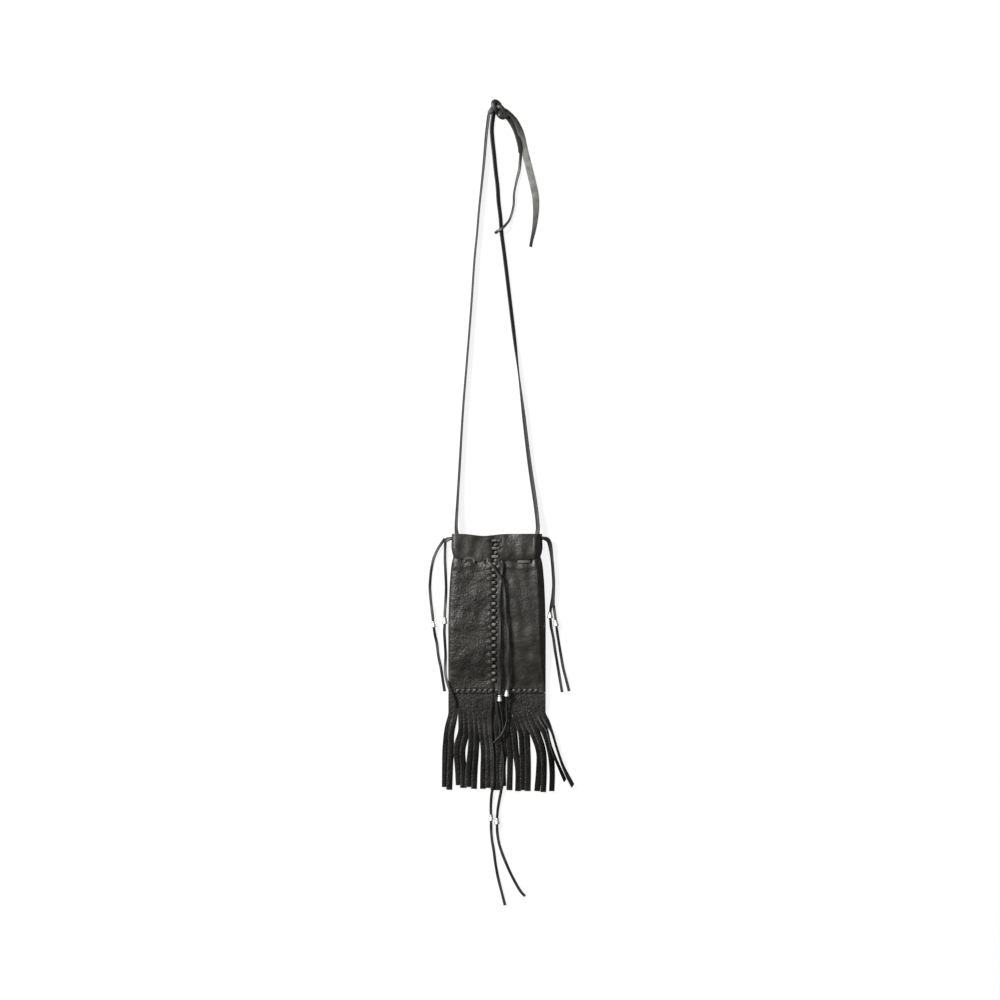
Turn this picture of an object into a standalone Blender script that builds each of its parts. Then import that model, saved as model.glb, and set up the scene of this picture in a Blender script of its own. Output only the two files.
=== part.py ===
"""A fringed leather neck pouch, lying on its back.

One sheet of leather is wrapped into a flat tube whose edges meet at the front
and are whipped together with a flat lace. A fringed panel is sewn into the
bottom edge, a drawstring is threaded round the neck, and a knotted strap
passes out through an eyelet at each side, where its end is slit into two
beaded thongs.

+X is to the right, +Y towards the strap, +Z up from the table. The origin is
the middle of the pouch's back. Sizes below are in millimetres.
"""
import math

import bmesh
import bpy
from mathutils import Vector

MM = 0.001

# Leather and clearances.
LEATHER = 1.4            # thickness of the pouch and fringe leather
GAP = 0.3                # clearance between pieces that touch
RISE = 0.45              # height of a lace's inner face over the leather it crosses

# Pouch.
POUCH_HEIGHT = 174.5     # mouth edge to bottom edge
BODY_WIDTH = 107.0
NECK_WIDTH = 97.0        # pulled in by the drawstring
FRILL_WIDTH = 100.2      # the leather just above and below the drawstring
MOUTH_WIDTH = 99.0
BODY_DEPTH = 15.5
NECK_DEPTH = 12.4
MOUTH_DEPTH = 12.4
SEAM_ALLOWANCE = 9.8     # flat stack at the bottom that the stitching passes
FOLD_STEPS = 6           # facets round each side fold
BACK_STEPS = 8           # facets across the back
GATHER_DEPTH = 0.9       # waves of the gathered frill
GATHER_LENGTH = 27.0
GATHER_CLEAR = 14.0      # flat leather each side of the centre seam
FRILL_HEIGHT = 8.0       # the frill's widest place above and below the drawstring
ROLL_HEIGHT = 9.0        # the mouth edge rolls in over this height

# Centre seam and its lace.
SEAM_X = -3.0            # the seam is a little left of the middle
SEAM_GAP = 0.9
SEAM_OPENING = 4.5       # how far the seam's right edge stands off at the mouth
HOLE_INSET = 2.2         # lacing hole to seam edge
LACE_WIDTH = 3.2
LACE_THICKNESS = 1.2
SEAM_PITCH = 7.65
SEAM_START = 7.5         # first stitch below the mouth edge
SEAM_FOOT = 3.0          # the last stitch stays this far above the bottom stack
LACE_CORNER = 0.7        # how soon a lace turns after its hole

# Bottom stitching.
STITCH_PITCH = 6.15
STITCH_MARGIN = 5.0      # the stitching stays this far inside the sides
STITCH_INSET = 2.9       # stitching to bottom edge
STITCH_WIDTH = 2.4
STITCH_THICKNESS = 1.0

# Drawstring.
DRAWSTRING_DROP = 28.0   # below the mouth edge
SLITS = (37.0, 23.0)     # slits each side of the middle, front and back
BACK_SLIT = 9.0          # the middle pair of slits in the back
EXIT_LEFT = -12.0        # where the two ends come out of the front
EXIT_RIGHT = 7.0
SLIT_SLOPE = 1.3         # half the length that the lace takes to pass a slit

# Fringe: for each strip, how far its end lies to the right of its top, and its length.
FRINGE_BAND = 21.5       # uncut leather below the bottom edge
BAND_SHOULDER = 1.6      # the band reaches its full width this far below the bottom edge
STRIP_CUT = 0.45
STRIP_BEND = 1.35
DROP_START = 5.0         # the panel starts to fall to the table this far down
DROP_LENGTH = 38.0
STRIPS = (
    (-6.8, 82.5), (-6.7, 85.5), (-2.1, 80.5), (-2.2, 83.5), (-2.4, 82.5),
    (-1.0, 84.5), (3.1, 84.5), (3.8, 83.5), (4.3, 86.0), (4.1, 86.0),
    (4.1, 81.5), (5.7, 86.0), (9.6, 87.0), (9.8, 86.0), (9.8, 87.0),
    (14.5, 87.0), (16.1, 88.0), (20.1, 87.0), (29.3, 75.5), (32.5, 81.0),
)
STRIP_LIFTS = (0.0, 0.6, 0.2, 0.8, 0.4)
STRIP_ROWS = 7

# Strap, tails and beads.
STRAP_DIAMETER = 4.2
TAIL_DIAMETER = 2.4
NARROW_DIAMETER = 2.6
EYELET_DROP = 5.0        # strap hole below the mouth edge
KNOT_CENTRE = (2.4, 555.6)
KNOT_TO_TAILS = ((8.5, -8.0), (6.4, -5.6))       # lead-outs, from the knot's centre
KNOT_TO_STRAPS = ((-7.4, -4.0), (-10.0, -6.0))
KNOT_DIAMETER = 3.8
KNOT_SCALE = 2.5
KNOT_RISE = 2.15
BEAD_HEIGHT = 6.6
BEAD_TOP_RADIUS = 2.2
BEAD_BOTTOM_RADIUS = 3.0
BEAD_CLEARANCE = 0.45
CORD_SPACING = 3.0       # diameters between the points of a cord that runs straight
TURN_LIMIT = 0.45        # radians that a cord may turn between two points

MOUTH_Y = POUCH_HEIGHT / 2
BOTTOM_Y = -POUCH_HEIGHT / 2
DRAWSTRING_Y = MOUTH_Y - DRAWSTRING_DROP
STITCH_Y = BOTTOM_Y + STITCH_INSET
ALLOWANCE_Y = BOTTOM_Y + SEAM_ALLOWANCE
STACK_DEPTH = 3 * LEATHER + 2 * GAP
BOTTOM_LIFT = RISE + STITCH_THICKNESS + 0.05
NECK_LIFT = RISE + LACE_THICKNESS + 0.7
DRAWSTRING_ZONE = LACE_WIDTH / 2 + 1.0
SEAM_STITCHES = 1 + int((ALLOWANCE_Y - BOTTOM_Y + SEAM_START + SEAM_FOOT - POUCH_HEIGHT) / -SEAM_PITCH)
STITCHES = int((BODY_WIDTH - 2 * STITCH_MARGIN) / STITCH_PITCH)

# Cross-sections from mouth to bottom: height, width, depth, and the height of
# the back over the table. The leather runs straight from one to the next.
SECTIONS = (
    (MOUTH_Y, MOUTH_WIDTH, MOUTH_DEPTH, 0.7 * NECK_LIFT),
    (MOUTH_Y - ROLL_HEIGHT, 0.4 * MOUTH_WIDTH + 0.6 * FRILL_WIDTH, MOUTH_DEPTH + 0.3, 0.85 * NECK_LIFT),
    (DRAWSTRING_Y + FRILL_HEIGHT, FRILL_WIDTH, NECK_DEPTH + 0.8, NECK_LIFT),
    (DRAWSTRING_Y + DRAWSTRING_ZONE, NECK_WIDTH, NECK_DEPTH, NECK_LIFT),
    (DRAWSTRING_Y - DRAWSTRING_ZONE, NECK_WIDTH, NECK_DEPTH, NECK_LIFT),
    (DRAWSTRING_Y - FRILL_HEIGHT, FRILL_WIDTH, NECK_DEPTH + 0.8, 0.8 * NECK_LIFT),
    (0.4 * MOUTH_Y, 0.5 * (FRILL_WIDTH + BODY_WIDTH), 0.96 * BODY_DEPTH, 0.2 * NECK_LIFT),
    (0.15 * MOUTH_Y, 0.2 * FRILL_WIDTH + 0.8 * BODY_WIDTH, BODY_DEPTH, 0.0),
    (0.15 * BOTTOM_Y, BODY_WIDTH, BODY_DEPTH, 0.0),
    (0.4 * BOTTOM_Y, BODY_WIDTH, 0.93 * BODY_DEPTH, 0.0),
    (0.6 * BOTTOM_Y, BODY_WIDTH, 0.78 * BODY_DEPTH, 0.1 * BOTTOM_LIFT),
    (0.75 * BOTTOM_Y, BODY_WIDTH, 0.5 * (STACK_DEPTH + 0.7 * BODY_DEPTH), 0.5 * BOTTOM_LIFT),
    (ALLOWANCE_Y, BODY_WIDTH, STACK_DEPTH, BOTTOM_LIFT),
    (BOTTOM_Y, BODY_WIDTH, STACK_DEPTH, BOTTOM_LIFT),
)


# Routes of the free cords, in millimetres, each from its start to its end.
STRAP_LEFT = (
    (-9.0, 547.5, 2.2), (-10.8, 534.0, 2.2), (-12.1, 522.5, 2.2), (-14.3, 496.1, 2.2),
    (-17.0, 469.7, 2.2), (-19.8, 443.3, 2.2), (-22.0, 416.9, 2.2), (-24.8, 388.3, 2.2),
    (-28.6, 333.3, 2.2), (-33.0, 278.3, 2.2), (-37.4, 223.3, 2.2), (-40.7, 168.3, 2.4),
    (-43.6, 120.0, 4.4), (-44.8, 96.0, 7.4), (-44.3, 88.0, 8.1), (-45.0, 84.0, 8.1),
    (-47.6, 82.3, 8.1), (-51.5, 82.0, 7.9), (-55.4, 80.4, 6.2),
)
STRAP_RIGHT = (
    (-4.1, 546.5, 2.2), (-5.6, 534.0, 2.2), (-5.2, 522.5, 2.2), (-3.3, 504.9, 2.2),
    (-1.6, 487.3, 2.2), (0.5, 469.7, 2.2), (1.7, 452.1, 2.2), (3.8, 434.5, 2.2),
    (5.1, 416.9, 2.2), (8.8, 388.3, 2.2), (15.4, 333.3, 2.2), (22.0, 278.3, 2.2),
    (28.6, 223.3, 2.2), (35.2, 168.3, 2.4), (42.2, 120.0, 4.4), (44.8, 96.0, 7.4),
    (44.3, 88.0, 8.1), (45.0, 84.0, 8.1), (47.6, 82.3, 8.1), (52.0, 82.3, 7.9),
    (56.6, 79.6, 6.0), (58.9, 71.5, 3.6), (60.5, 58.3, 2.3), (61.6, 45.1, 2.2),
    (62.3, 31.9, 2.2), (61.6, 18.7, 2.2), (60.8, 8.5, 2.2),
)
STRAP_TAIL_WIDE = (
    (13.5, 546.6, 4.0), (16.4, 543.0, 3.2), (20.2, 538.0, 2.4), (25.3, 526.9, 2.2),
    (29.7, 511.5, 2.2), (33.5, 496.1, 2.2), (37.9, 478.5, 2.2), (41.8, 460.9, 2.2),
    (42.9, 447.7, 2.2), (42.3, 434.5, 2.2), (40.6, 421.3, 2.2), (38.0, 409.5, 2.2),
    (36.9, 402.6, 2.2),
)
STRAP_TAIL_NARROW = (
    (9.8, 545.3, 4.0), (12.9, 540.7, 3.0), (17.8, 532.5, 3.0), (22.2, 521.5, 2.9),
    (25.0, 510.0, 2.2), (25.4, 500.5, 1.4), (24.4, 487.3, 1.4), (22.3, 478.5, 1.4),
    (20.3, 469.7, 1.4), (18.7, 460.9, 1.4), (18.1, 447.7, 1.4), (14.6, 434.5, 1.6),
    (10.4, 427.5, 4.4), (5.5, 422.5, 6.5), (1.0, 419.6, 5.6), (-2.0, 417.6, 2.8),
)
LEFT_TAIL_OUTER = (
    (-58.3, 80.6, 5.6), (-61.0, 76.6, 4.0), (-64.4, 71.5, 2.4), (-67.7, 64.9, 1.4),
    (-70.4, 57.3, 1.3), (-72.6, 45.1, 1.3), (-73.7, 31.9, 1.3), (-73.7, 25.3, 1.3),
    (-72.6, 12.1, 1.3), (-71.2, 0.5, 2.4), (-70.3, -8.0, 3.1), (-69.9, -12.1, 3.1),
    (-69.3, -17.0, 3.1), (-68.0, -25.0, 2.0), (-66.0, -34.1, 1.3), (-64.4, -47.3, 1.3),
    (-61.6, -60.5, 1.3), (-59.6, -73.7, 1.3), (-57.6, -86.0, 1.3),
)
LEFT_TAIL_INNER = (
    (-56.8, 77.4, 4.6), (-57.0, 71.5, 2.6), (-57.2, 58.3, 1.4), (-56.3, 38.5, 1.3),
    (-56.0, 25.3, 1.3), (-56.6, 12.1, 1.6), (-57.2, 3.0, 2.8), (-57.4, -3.5, 3.1),
    (-57.4, -8.3, 3.1), (-57.6, -13.5, 3.1), (-57.9, -21.0, 2.2), (-57.4, -30.7, 1.4),
    (-56.6, -45.0, 1.6), (-56.8, -55.0, 2.2), (-56.8, -64.0, 4.0), (-55.6, -72.0, 6.6),
    (-53.6, -79.0, 8.2), (-51.7, -84.0, 8.6), (-49.0, -90.0, 8.0), (-46.4, -96.0, 6.6),
    (-45.1, -102.3, 6.0),
)
RIGHT_TAIL_INNER = (
    (59.4, 7.9, 2.2), (58.8, 3.0, 2.8), (58.5, -1.0, 3.1), (58.5, -4.8, 3.1),
    (58.9, -9.0, 2.8), (59.6, -15.5, 1.6), (62.0, -27.5, 1.3), (63.8, -40.7, 1.3),
    (66.0, -53.9, 1.3), (68.2, -67.1, 1.3), (70.4, -80.3, 1.3), (71.5, -86.9, 1.3),
)
RIGHT_TAIL_OUTER = (
    (62.3, 7.9, 2.2), (63.0, 3.0, 2.2), (63.7, -2.0, 2.8), (64.5, -8.0, 3.1),
    (64.9, -11.6, 3.1), (65.4, -15.5, 3.1), (66.3, -22.0, 1.9), (68.2, -34.1, 1.3),
    (70.4, -47.3, 1.3), (72.8, -60.5, 1.3), (76.2, -73.7, 1.3), (79.2, -85.8, 1.3),
)
DRAWSTRING_TAIL_RIGHT = (
    (-8.8, 58.6, 17.2), (-6.0, 56.6, 18.8), (-3.0, 53.6, 19.0), (0.0, 49.6, 19.8),
    (3.2, 44.4, 21.0), (5.6, 38.5, 19.6), (6.9, 30.0, 17.2), (7.7, 20.0, 16.9),
    (9.2, 6.0, 17.2), (10.3, -8.0, 17.2), (11.2, -22.0, 17.0), (11.9, -36.0, 16.0),
    (12.3, -50.0, 14.2), (12.4, -62.0, 11.8), (12.2, -72.0, 10.2), (11.7, -80.0, 10.2),
    (11.0, -86.0, 10.6), (10.8, -90.5, 10.4), (10.9, -96.0, 9.0), (11.1, -106.0, 6.8),
    (11.0, -118.0, 6.0), (8.6, -127.0, 7.2), (4.4, -134.4, 8.4), (-0.4, -139.4, 7.8),
    (-3.6, -143.0, 7.0),
)
DRAWSTRING_TAIL_LEFT = (
    (6.4, 58.2, 17.6), (6.0, 54.0, 17.2), (5.0, 49.0, 17.0), (3.9, 43.0, 16.9),
    (2.9, 34.0, 17.0), (2.5, 22.0, 17.0), (2.4, 6.0, 17.2), (2.4, -10.0, 17.2),
    (2.4, -26.0, 16.8), (2.5, -42.0, 15.2), (2.6, -56.0, 12.8), (2.7, -68.0, 10.2),
    (2.8, -78.0, 9.2), (2.9, -86.5, 9.2), (3.0, -93.5, 8.6), (3.6, -100.0, 7.6),
    (5.4, -110.0, 5.8), (7.0, -122.0, 4.6), (7.7, -132.0, 4.2), (8.1, -141.0, 4.0),
)
SEAM_TAIL_LEFT = (
    (-4.6, -90.0, 6.6), (-5.2, -98.0, 6.2), (-6.2, -110.0, 5.0), (-6.4, -124.0, 4.0),
    (-5.4, -136.0, 3.9), (-4.2, -147.5, 3.9), (-3.4, -160.0, 3.9), (-3.5, -175.0, 3.9),
    (-4.4, -190.0, 3.8), (-6.0, -200.0, 2.6), (-6.8, -212.0, 1.8), (-6.6, -222.0, 3.1),
    (-6.5, -225.5, 3.1), (-6.5, -230.5, 3.0), (-6.4, -239.0, 1.5), (-5.5, -249.7, 1.3),
    (-3.6, -261.0, 1.3), (-1.6, -276.0, 1.3), (1.2, -291.0, 1.3), (5.2, -307.0, 1.3),
    (8.8, -321.2, 1.3),
)
SEAM_TAIL_RIGHT = (
    (-1.5, -90.0, 6.6), (-0.6, -99.0, 6.2), (0.9, -110.0, 5.0), (3.2, -122.0, 4.0),
    (4.2, -134.0, 3.9), (5.6, -147.5, 3.9), (7.2, -160.0, 3.9), (7.4, -175.0, 3.9),
    (5.6, -190.0, 3.8), (3.0, -203.0, 2.4), (1.0, -214.5, 2.0), (0.2, -223.0, 3.1),
    (0.0, -229.0, 3.1), (0.1, -235.0, 2.8), (0.4, -242.0, 1.5), (2.2, -253.0, 1.3),
    (6.0, -265.0, 1.3), (13.0, -282.0, 1.3), (20.0, -296.0, 1.3), (26.0, -306.0, 1.3),
    (30.8, -311.3, 1.3),
)


def section_at(y):
    """Half-width, half-depth and mid-height of the pouch's outside at height y."""
    for upper, lower in zip(SECTIONS, SECTIONS[1:]):
        if y >= lower[0]:
            break
    share = (y - lower[0]) / (upper[0] - lower[0])
    width, depth, lift = (b + share * (a - b) for a, b in zip(upper[1:], lower[1:]))
    return width / 2, depth / 2, lift + depth / 2


def seam_edges(y):
    """Left and right edges of the centre seam, which opens above the neck."""
    start = DRAWSTRING_Y - FRILL_HEIGHT
    opening = max(0.0, (y - start) / (MOUTH_Y - start)) * SEAM_OPENING
    return SEAM_X - SEAM_GAP / 2, SEAM_X + SEAM_GAP / 2 + opening


def gather(x, y):
    """Waves of the frill: none at the drawstring, in the seam strip or below the neck."""
    above = max(0.0, y - DRAWSTRING_Y - DRAWSTRING_ZONE) / (MOUTH_Y - DRAWSTRING_Y)
    if abs(x - SEAM_X) < GATHER_CLEAR:
        return 0.0
    return GATHER_DEPTH * min(1.0, above) * math.cos(2 * math.pi * x / GATHER_LENGTH)


def section_points(y, inset):
    """The wrapped sheet's section at height y, inset from its outer face."""
    half, radius, middle = section_at(y)
    left, right = seam_edges(y)
    fold = half - radius
    reach = radius - inset
    strip = HOLE_INSET + LACE_THICKNESS + 2.5
    front_right = [right, right + strip]
    front_right += [right + strip + (fold - right - strip) * k / 4 for k in range(1, 5)]
    front_left = [left, left - strip]
    front_left += [left - strip - (fold + left - strip) * k / 4 for k in range(1, 5)]
    points = [(x, middle + reach + gather(x, y)) for x in front_right[:-1]]
    for k in range(FOLD_STEPS + 1):
        angle = math.pi / 2 - math.pi * k / FOLD_STEPS
        points.append((fold + reach * math.cos(angle), middle + reach * math.sin(angle)))
    for k in range(1, BACK_STEPS):
        points.append((fold - 2 * fold * k / BACK_STEPS, middle - reach))
    for k in range(FOLD_STEPS + 1):
        angle = -math.pi / 2 - math.pi * k / FOLD_STEPS
        points.append((-fold + reach * math.cos(angle), middle + reach * math.sin(angle)))
    points += [(x, middle + reach + gather(x, y)) for x in reversed(front_left[:-1])]
    return [Vector((x, y, z)) * MM for x, z in points]


def principled(name, colour, roughness, metallic=0.0):
    material = bpy.data.materials.new(name)
    material.use_nodes = True
    shader = material.node_tree.nodes["Principled BSDF"]
    shader.inputs["Base Color"].default_value = (*colour, 1.0)
    shader.inputs["Roughness"].default_value = roughness
    shader.inputs["Metallic"].default_value = metallic
    return material


def add_object(name, mesh_or_curve, material):
    obj = bpy.data.objects.new(name, mesh_or_curve)
    if material:
        obj.data.materials.append(material)
    bpy.context.scene.collection.objects.link(obj)
    return obj


def solid_from_rings(name, rings, material, split):
    """A closed solid through rings of equal length; split cuts each side in the same way."""
    mesh = bpy.data.meshes.new(name)
    bm = bmesh.new()
    loops = [[bm.verts.new(point) for point in ring] for ring in rings]
    count = len(loops[0])
    for first, second in zip(loops, loops[1:]):
        for k in range(count):
            j = (k + 1) % count
            if split:
                bm.faces.new((first[k], first[j], second[j]))
                bm.faces.new((first[k], second[j], second[k]))
            else:
                bm.faces.new((first[k], first[j], second[j], second[k]))
    bm.faces.new(reversed(loops[0]))
    bm.faces.new(loops[-1])
    bmesh.ops.recalc_face_normals(bm, faces=bm.faces)
    bm.to_mesh(mesh)
    bm.free()
    return add_object(name, mesh, material)


def flat_lace(name, path, width, thickness, material):
    """A flat lace along a path; its width lies along Y and its corners are mitred."""
    rings = []
    for k, point in enumerate(path):
        before = Vector(path[max(k - 1, 0)])
        here = Vector(point)
        after = Vector(path[min(k + 1, len(path) - 1)])
        arriving = (here - before) if k else (after - here)
        leaving = (after - here) if k < len(path) - 1 else arriving
        for direction in (arriving, leaving):
            direction.y = 0.0
            direction.normalize()
        along = (arriving + leaving).normalized()
        mitre = 1.0 / max(0.5, along.dot(leaving))
        normal = Vector((-along.z, 0.0, along.x)) * mitre * thickness / 2
        side = Vector((0.0, width / 2, 0.0))
        ring = [here + side + normal, here - side + normal,
                here - side - normal, here + side - normal]
        rings.append([corner * MM for corner in ring])
    slants = len({round(point[1], 4) for point in path}) > 1
    return solid_from_rings(name, rings, material, slants)


def make_cutter(obj):
    obj.hide_render = True
    obj.display_type = "WIRE"
    return obj


def subtract(target, cutter):
    modifier = target.modifiers.new(cutter.name, "BOOLEAN")
    modifier.operation = "DIFFERENCE"
    modifier.object = cutter


def seam_lace_path():
    """Whip stitches: straight over the seam, then slanting under it to the next hole."""
    path = []
    for k in range(SEAM_STITCHES):
        y = MOUTH_Y - SEAM_START - k * SEAM_PITCH
        half, radius, middle = section_at(y)
        left, right = seam_edges(y)
        left -= HOLE_INSET
        right += HOLE_INSET
        leather_z = middle + radius - LEATHER / 2
        reach = LEATHER / 2 + RISE + LACE_THICKNESS / 2
        slant = 0.16 * SEAM_PITCH
        drop = leather_z - (section_at(y - SEAM_PITCH)[1] + section_at(y - SEAM_PITCH)[2] - LEATHER / 2)
        path.append((left + LACE_CORNER, y + slant, leather_z - reach))
        path.append((left, y, leather_z))
        path.append((left + LACE_CORNER, y, leather_z + reach))
        path.append((right - LACE_CORNER, y, leather_z + reach))
        path.append((right, y, leather_z))
        path.append((right - LACE_CORNER, y - slant, leather_z - reach - 0.16 * drop))
    return path


def stitch_path():
    """A running stitch along X through back, fringe and front."""
    half, radius, middle = section_at(STITCH_Y)
    reach = radius + RISE + STITCH_THICKNESS / 2
    leg = STITCH_PITCH / 4
    path = []
    for k in range(STITCHES):
        x = (k - (STITCHES - 1) / 2) * STITCH_PITCH
        path.append((x - leg, STITCH_Y, middle - reach))
        path.append((x - leg, STITCH_Y, middle + reach))
        path.append((x + leg, STITCH_Y, middle + reach))
        path.append((x + leg, STITCH_Y, middle - reach))
    end = STITCH_PITCH / 3
    start = (path[0][0] - end, STITCH_Y, middle - reach)
    finish = (path[-1][0] + end, STITCH_Y, middle - reach)
    return [start] + path + [finish]


def drawstring_path():
    """In and out of the neck, from the left exit round the back to the right exit."""
    half, radius, middle = section_at(DRAWSTRING_Y)
    fold = half - radius
    leather = radius - LEATHER / 2
    reach = LEATHER / 2 + RISE + LACE_THICKNESS / 2
    front = ((EXIT_LEFT, 1), (-SLITS[1], -1), (-SLITS[0], 1))
    back = ((-SLITS[0], -1), (-SLITS[1], 1), (-BACK_SLIT, -1),
            (BACK_SLIT, 1), (SLITS[1], -1), (SLITS[0], 1))
    last = ((SLITS[0], -1), (SLITS[1], 1), (EXIT_RIGHT, -1))
    path = [(EXIT_LEFT + SLIT_SLOPE + 1.2, DRAWSTRING_Y, middle + leather + reach)]

    def cross(slits, direction, face):
        for x, outside in slits:
            for step in (-1, 1):
                level = leather - step * outside * reach
                path.append((x + direction * step * SLIT_SLOPE, DRAWSTRING_Y, middle + face * level))

    def round_fold(side):
        """Down round the left fold (-1) or up round the right one (1)."""
        for k in range(5):
            angle = math.radians(side * 36 * (k - 2))
            path.append((side * (fold + (leather - reach) * math.cos(angle)), DRAWSTRING_Y,
                         middle + (leather - reach) * math.sin(angle)))

    cross(front, -1, 1)
    round_fold(-1)
    cross(back, 1, -1)
    round_fold(1)
    cross(last, -1, 1)
    path.append((EXIT_RIGHT - SLIT_SLOPE - 1.2, DRAWSTRING_Y, middle + leather + reach))
    return path


def pouch_body(leather):
    """The wrapped sheet with its holes: an outer and an inner skin, joined at their rims."""
    mesh = bpy.data.meshes.new("pouch_body")
    bm = bmesh.new()
    skins = []
    for inset in (0.0, LEATHER):
        skins.append([[bm.verts.new(p) for p in section_points(s[0], inset)] for s in SECTIONS])
    for skin in skins:
        for upper, lower in zip(skin, skin[1:]):
            for k in range(len(upper) - 1):
                bm.faces.new((upper[k], upper[k + 1], lower[k + 1], lower[k]))
    outer, inner = skins
    for rim_out, rim_in in ((outer[0], inner[0]), (outer[-1], inner[-1])):
        for k in range(len(rim_out) - 1):
            bm.faces.new((rim_out[k], rim_out[k + 1], rim_in[k + 1], rim_in[k]))
    for row in range(len(SECTIONS) - 1):
        for edge in (0, -1):
            bm.faces.new((outer[row][edge], outer[row + 1][edge],
                          inner[row + 1][edge], inner[row][edge]))
    bmesh.ops.recalc_face_normals(bm, faces=bm.faces)
    bm.to_mesh(mesh)
    bm.free()
    return add_object("pouch_body", mesh, leather)


def eyelet_cutter(name, side):
    """The round strap hole through one side fold."""
    y = MOUTH_Y - EYELET_DROP
    half, radius, middle = section_at(y)
    bpy.ops.mesh.primitive_cylinder_add(
        vertices=12, radius=(STRAP_DIAMETER / 2 + 2 * GAP) * MM, depth=4 * LEATHER * MM,
        location=Vector((side * (half - LEATHER / 2), y, middle)) * MM,
        rotation=(0, math.pi / 2, 0))
    obj = bpy.context.object
    obj.name = name
    return make_cutter(obj)


def fringe_height(distance):
    """Middle of the fringe leather over the table, this far below the bottom edge."""
    half, radius, middle = section_at(BOTTOM_Y)
    rest = LEATHER / 2 + 0.05
    share = min(1.0, max(0.0, (distance - DROP_START) / DROP_LENGTH))
    return middle + (rest - middle) * share * share * (3 - 2 * share)


def fringe(leather):
    """One panel: a tab between the pouch's layers, an uncut band, and the cut strips."""
    half, radius, middle = section_at(BOTTOM_Y)
    tab_half = half - radius
    pitch = 2.0 / len(STRIPS)
    cut = STRIP_CUT / half / 2
    columns = []
    for k in range(len(STRIPS)):
        columns += [-1 + k * pitch + (cut if k else 0), -1 + (k + 1) * pitch]
        columns[-1] -= cut if k < len(STRIPS) - 1 else 0
    rows = ((-SEAM_ALLOWANCE + 0.3, tab_half), (0.0, tab_half), (BAND_SHOULDER, half), (FRINGE_BAND, half))
    mesh = bpy.data.meshes.new("fringe")
    bm = bmesh.new()

    def pair(x, distance, lift=0.0):
        z = fringe_height(distance) + lift
        y = BOTTOM_Y - distance
        return [bm.verts.new(Vector((x, y, z + side * LEATHER / 2)) * MM) for side in (1, -1)]

    def close(a, b, c, d):
        bm.faces.new((a[0], b[0], c[0], d[0]))
        bm.faces.new((d[1], c[1], b[1], a[1]))

    def wall(a, b):
        bm.faces.new((a[0], b[0], b[1], a[1]))

    band = [[pair(x * reach, distance) for x in columns] for distance, reach in rows]
    for upper, lower in zip(band, band[1:]):
        for k in range(len(columns) - 1):
            close(upper[k], upper[k + 1], lower[k + 1], lower[k])
        wall(upper[0], lower[0])
        wall(upper[-1], lower[-1])
    for k in range(len(columns) - 1):
        wall(band[0][k], band[0][k + 1])
        if k % 2:
            wall(band[-1][k], band[-1][k + 1])
    for k, (drift, length) in enumerate(STRIPS):
        left, right = band[-1][2 * k], band[-1][2 * k + 1]
        strip_half = (columns[2 * k + 1] - columns[2 * k]) * half / 2
        top_x = (columns[2 * k + 1] + columns[2 * k]) * half / 2
        for row in range(1, STRIP_ROWS + 1):
            share = row / STRIP_ROWS
            x = top_x + drift * share ** STRIP_BEND
            lift = STRIP_LIFTS[k % len(STRIP_LIFTS)] * math.sin(math.pi * share) ** 2
            distance = FRINGE_BAND + share * length
            next_left = pair(x - strip_half, distance, lift)
            next_right = pair(x + strip_half, distance, lift)
            close(left, right, next_right, next_left)
            wall(left, next_left)
            wall(right, next_right)
            left, right = next_left, next_right
        wall(left, right)
    bmesh.ops.recalc_face_normals(bm, faces=bm.faces)
    bm.to_mesh(mesh)
    bm.free()
    return add_object("fringe", mesh, leather)


def smooth_route(route, spacing):
    """Points on a smooth curve through the route's own points, closer where it bends."""
    points = [Vector(p) for p in route]
    points = [2 * points[0] - points[1]] + points + [2 * points[-1] - points[-2]]
    fine = []
    for a, b, c, d in zip(points, points[1:], points[2:], points[3:]):
        for k in range(16):
            t = k / 16
            fine.append(0.5 * (2 * b + (c - a) * t + (2 * a - 5 * b + 4 * c - d) * t * t
                               + (3 * b - a - 3 * c + d) * t ** 3))
    fine.append(points[-2])
    kept = [0]
    turned = 0.0
    for k in range(1, len(fine) - 1):
        turned += (fine[k] - fine[k - 1]).angle(fine[k + 1] - fine[k])
        walked = (fine[k] - fine[kept[-1]]).length
        left = (fine[-1] - fine[k]).length
        if left > spacing / 3 and (walked > spacing or turned > TURN_LIMIT):
            kept.append(k)
            turned = 0.0
    return [fine[k] for k in kept] + [fine[-1]]


def cord(name, route, diameter, material, spacing=CORD_SPACING):
    curve = bpy.data.curves.new(name, "CURVE")
    curve.dimensions = "3D"
    curve.bevel_depth = diameter / 2 * MM
    curve.bevel_resolution = 2
    curve.use_fill_caps = True
    curve.render_resolution_u = 0
    points = smooth_route(route, spacing * diameter)
    spline = curve.splines.new("POLY")
    spline.points.add(len(points) - 1)
    for point, place in zip(spline.points, points):
        point.co = (*(place * MM), 1.0)
    return add_object(name, curve, material)


def knot_route():
    """An overhand knot: five sixths of a trefoil, its two ends led out."""
    x0, y0 = KNOT_CENTRE
    low = KNOT_DIAMETER / 2 + 0.1
    (far_x, far_y), (near_x, near_y) = KNOT_TO_TAILS
    route = [(x0 + far_x, y0 + far_y, low + 0.6 * 2 * KNOT_RISE),
             (x0 + near_x, y0 + near_y, low + 0.84 * 2 * KNOT_RISE)]
    steps = 26
    for k in range(steps + 1):
        t = math.pi / 6 + 2 * math.pi * 5 / 6 * k / steps
        radius = KNOT_SCALE * (2 + math.cos(3 * t))
        angle = 2 * t - math.pi / 2
        route.append((x0 + radius * math.cos(angle), y0 + radius * math.sin(angle),
                      low + KNOT_RISE * (1 + math.sin(3 * t))))
    return route + [(x0 + x, y0 + y, low) for x, y in KNOT_TO_STRAPS]


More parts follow.
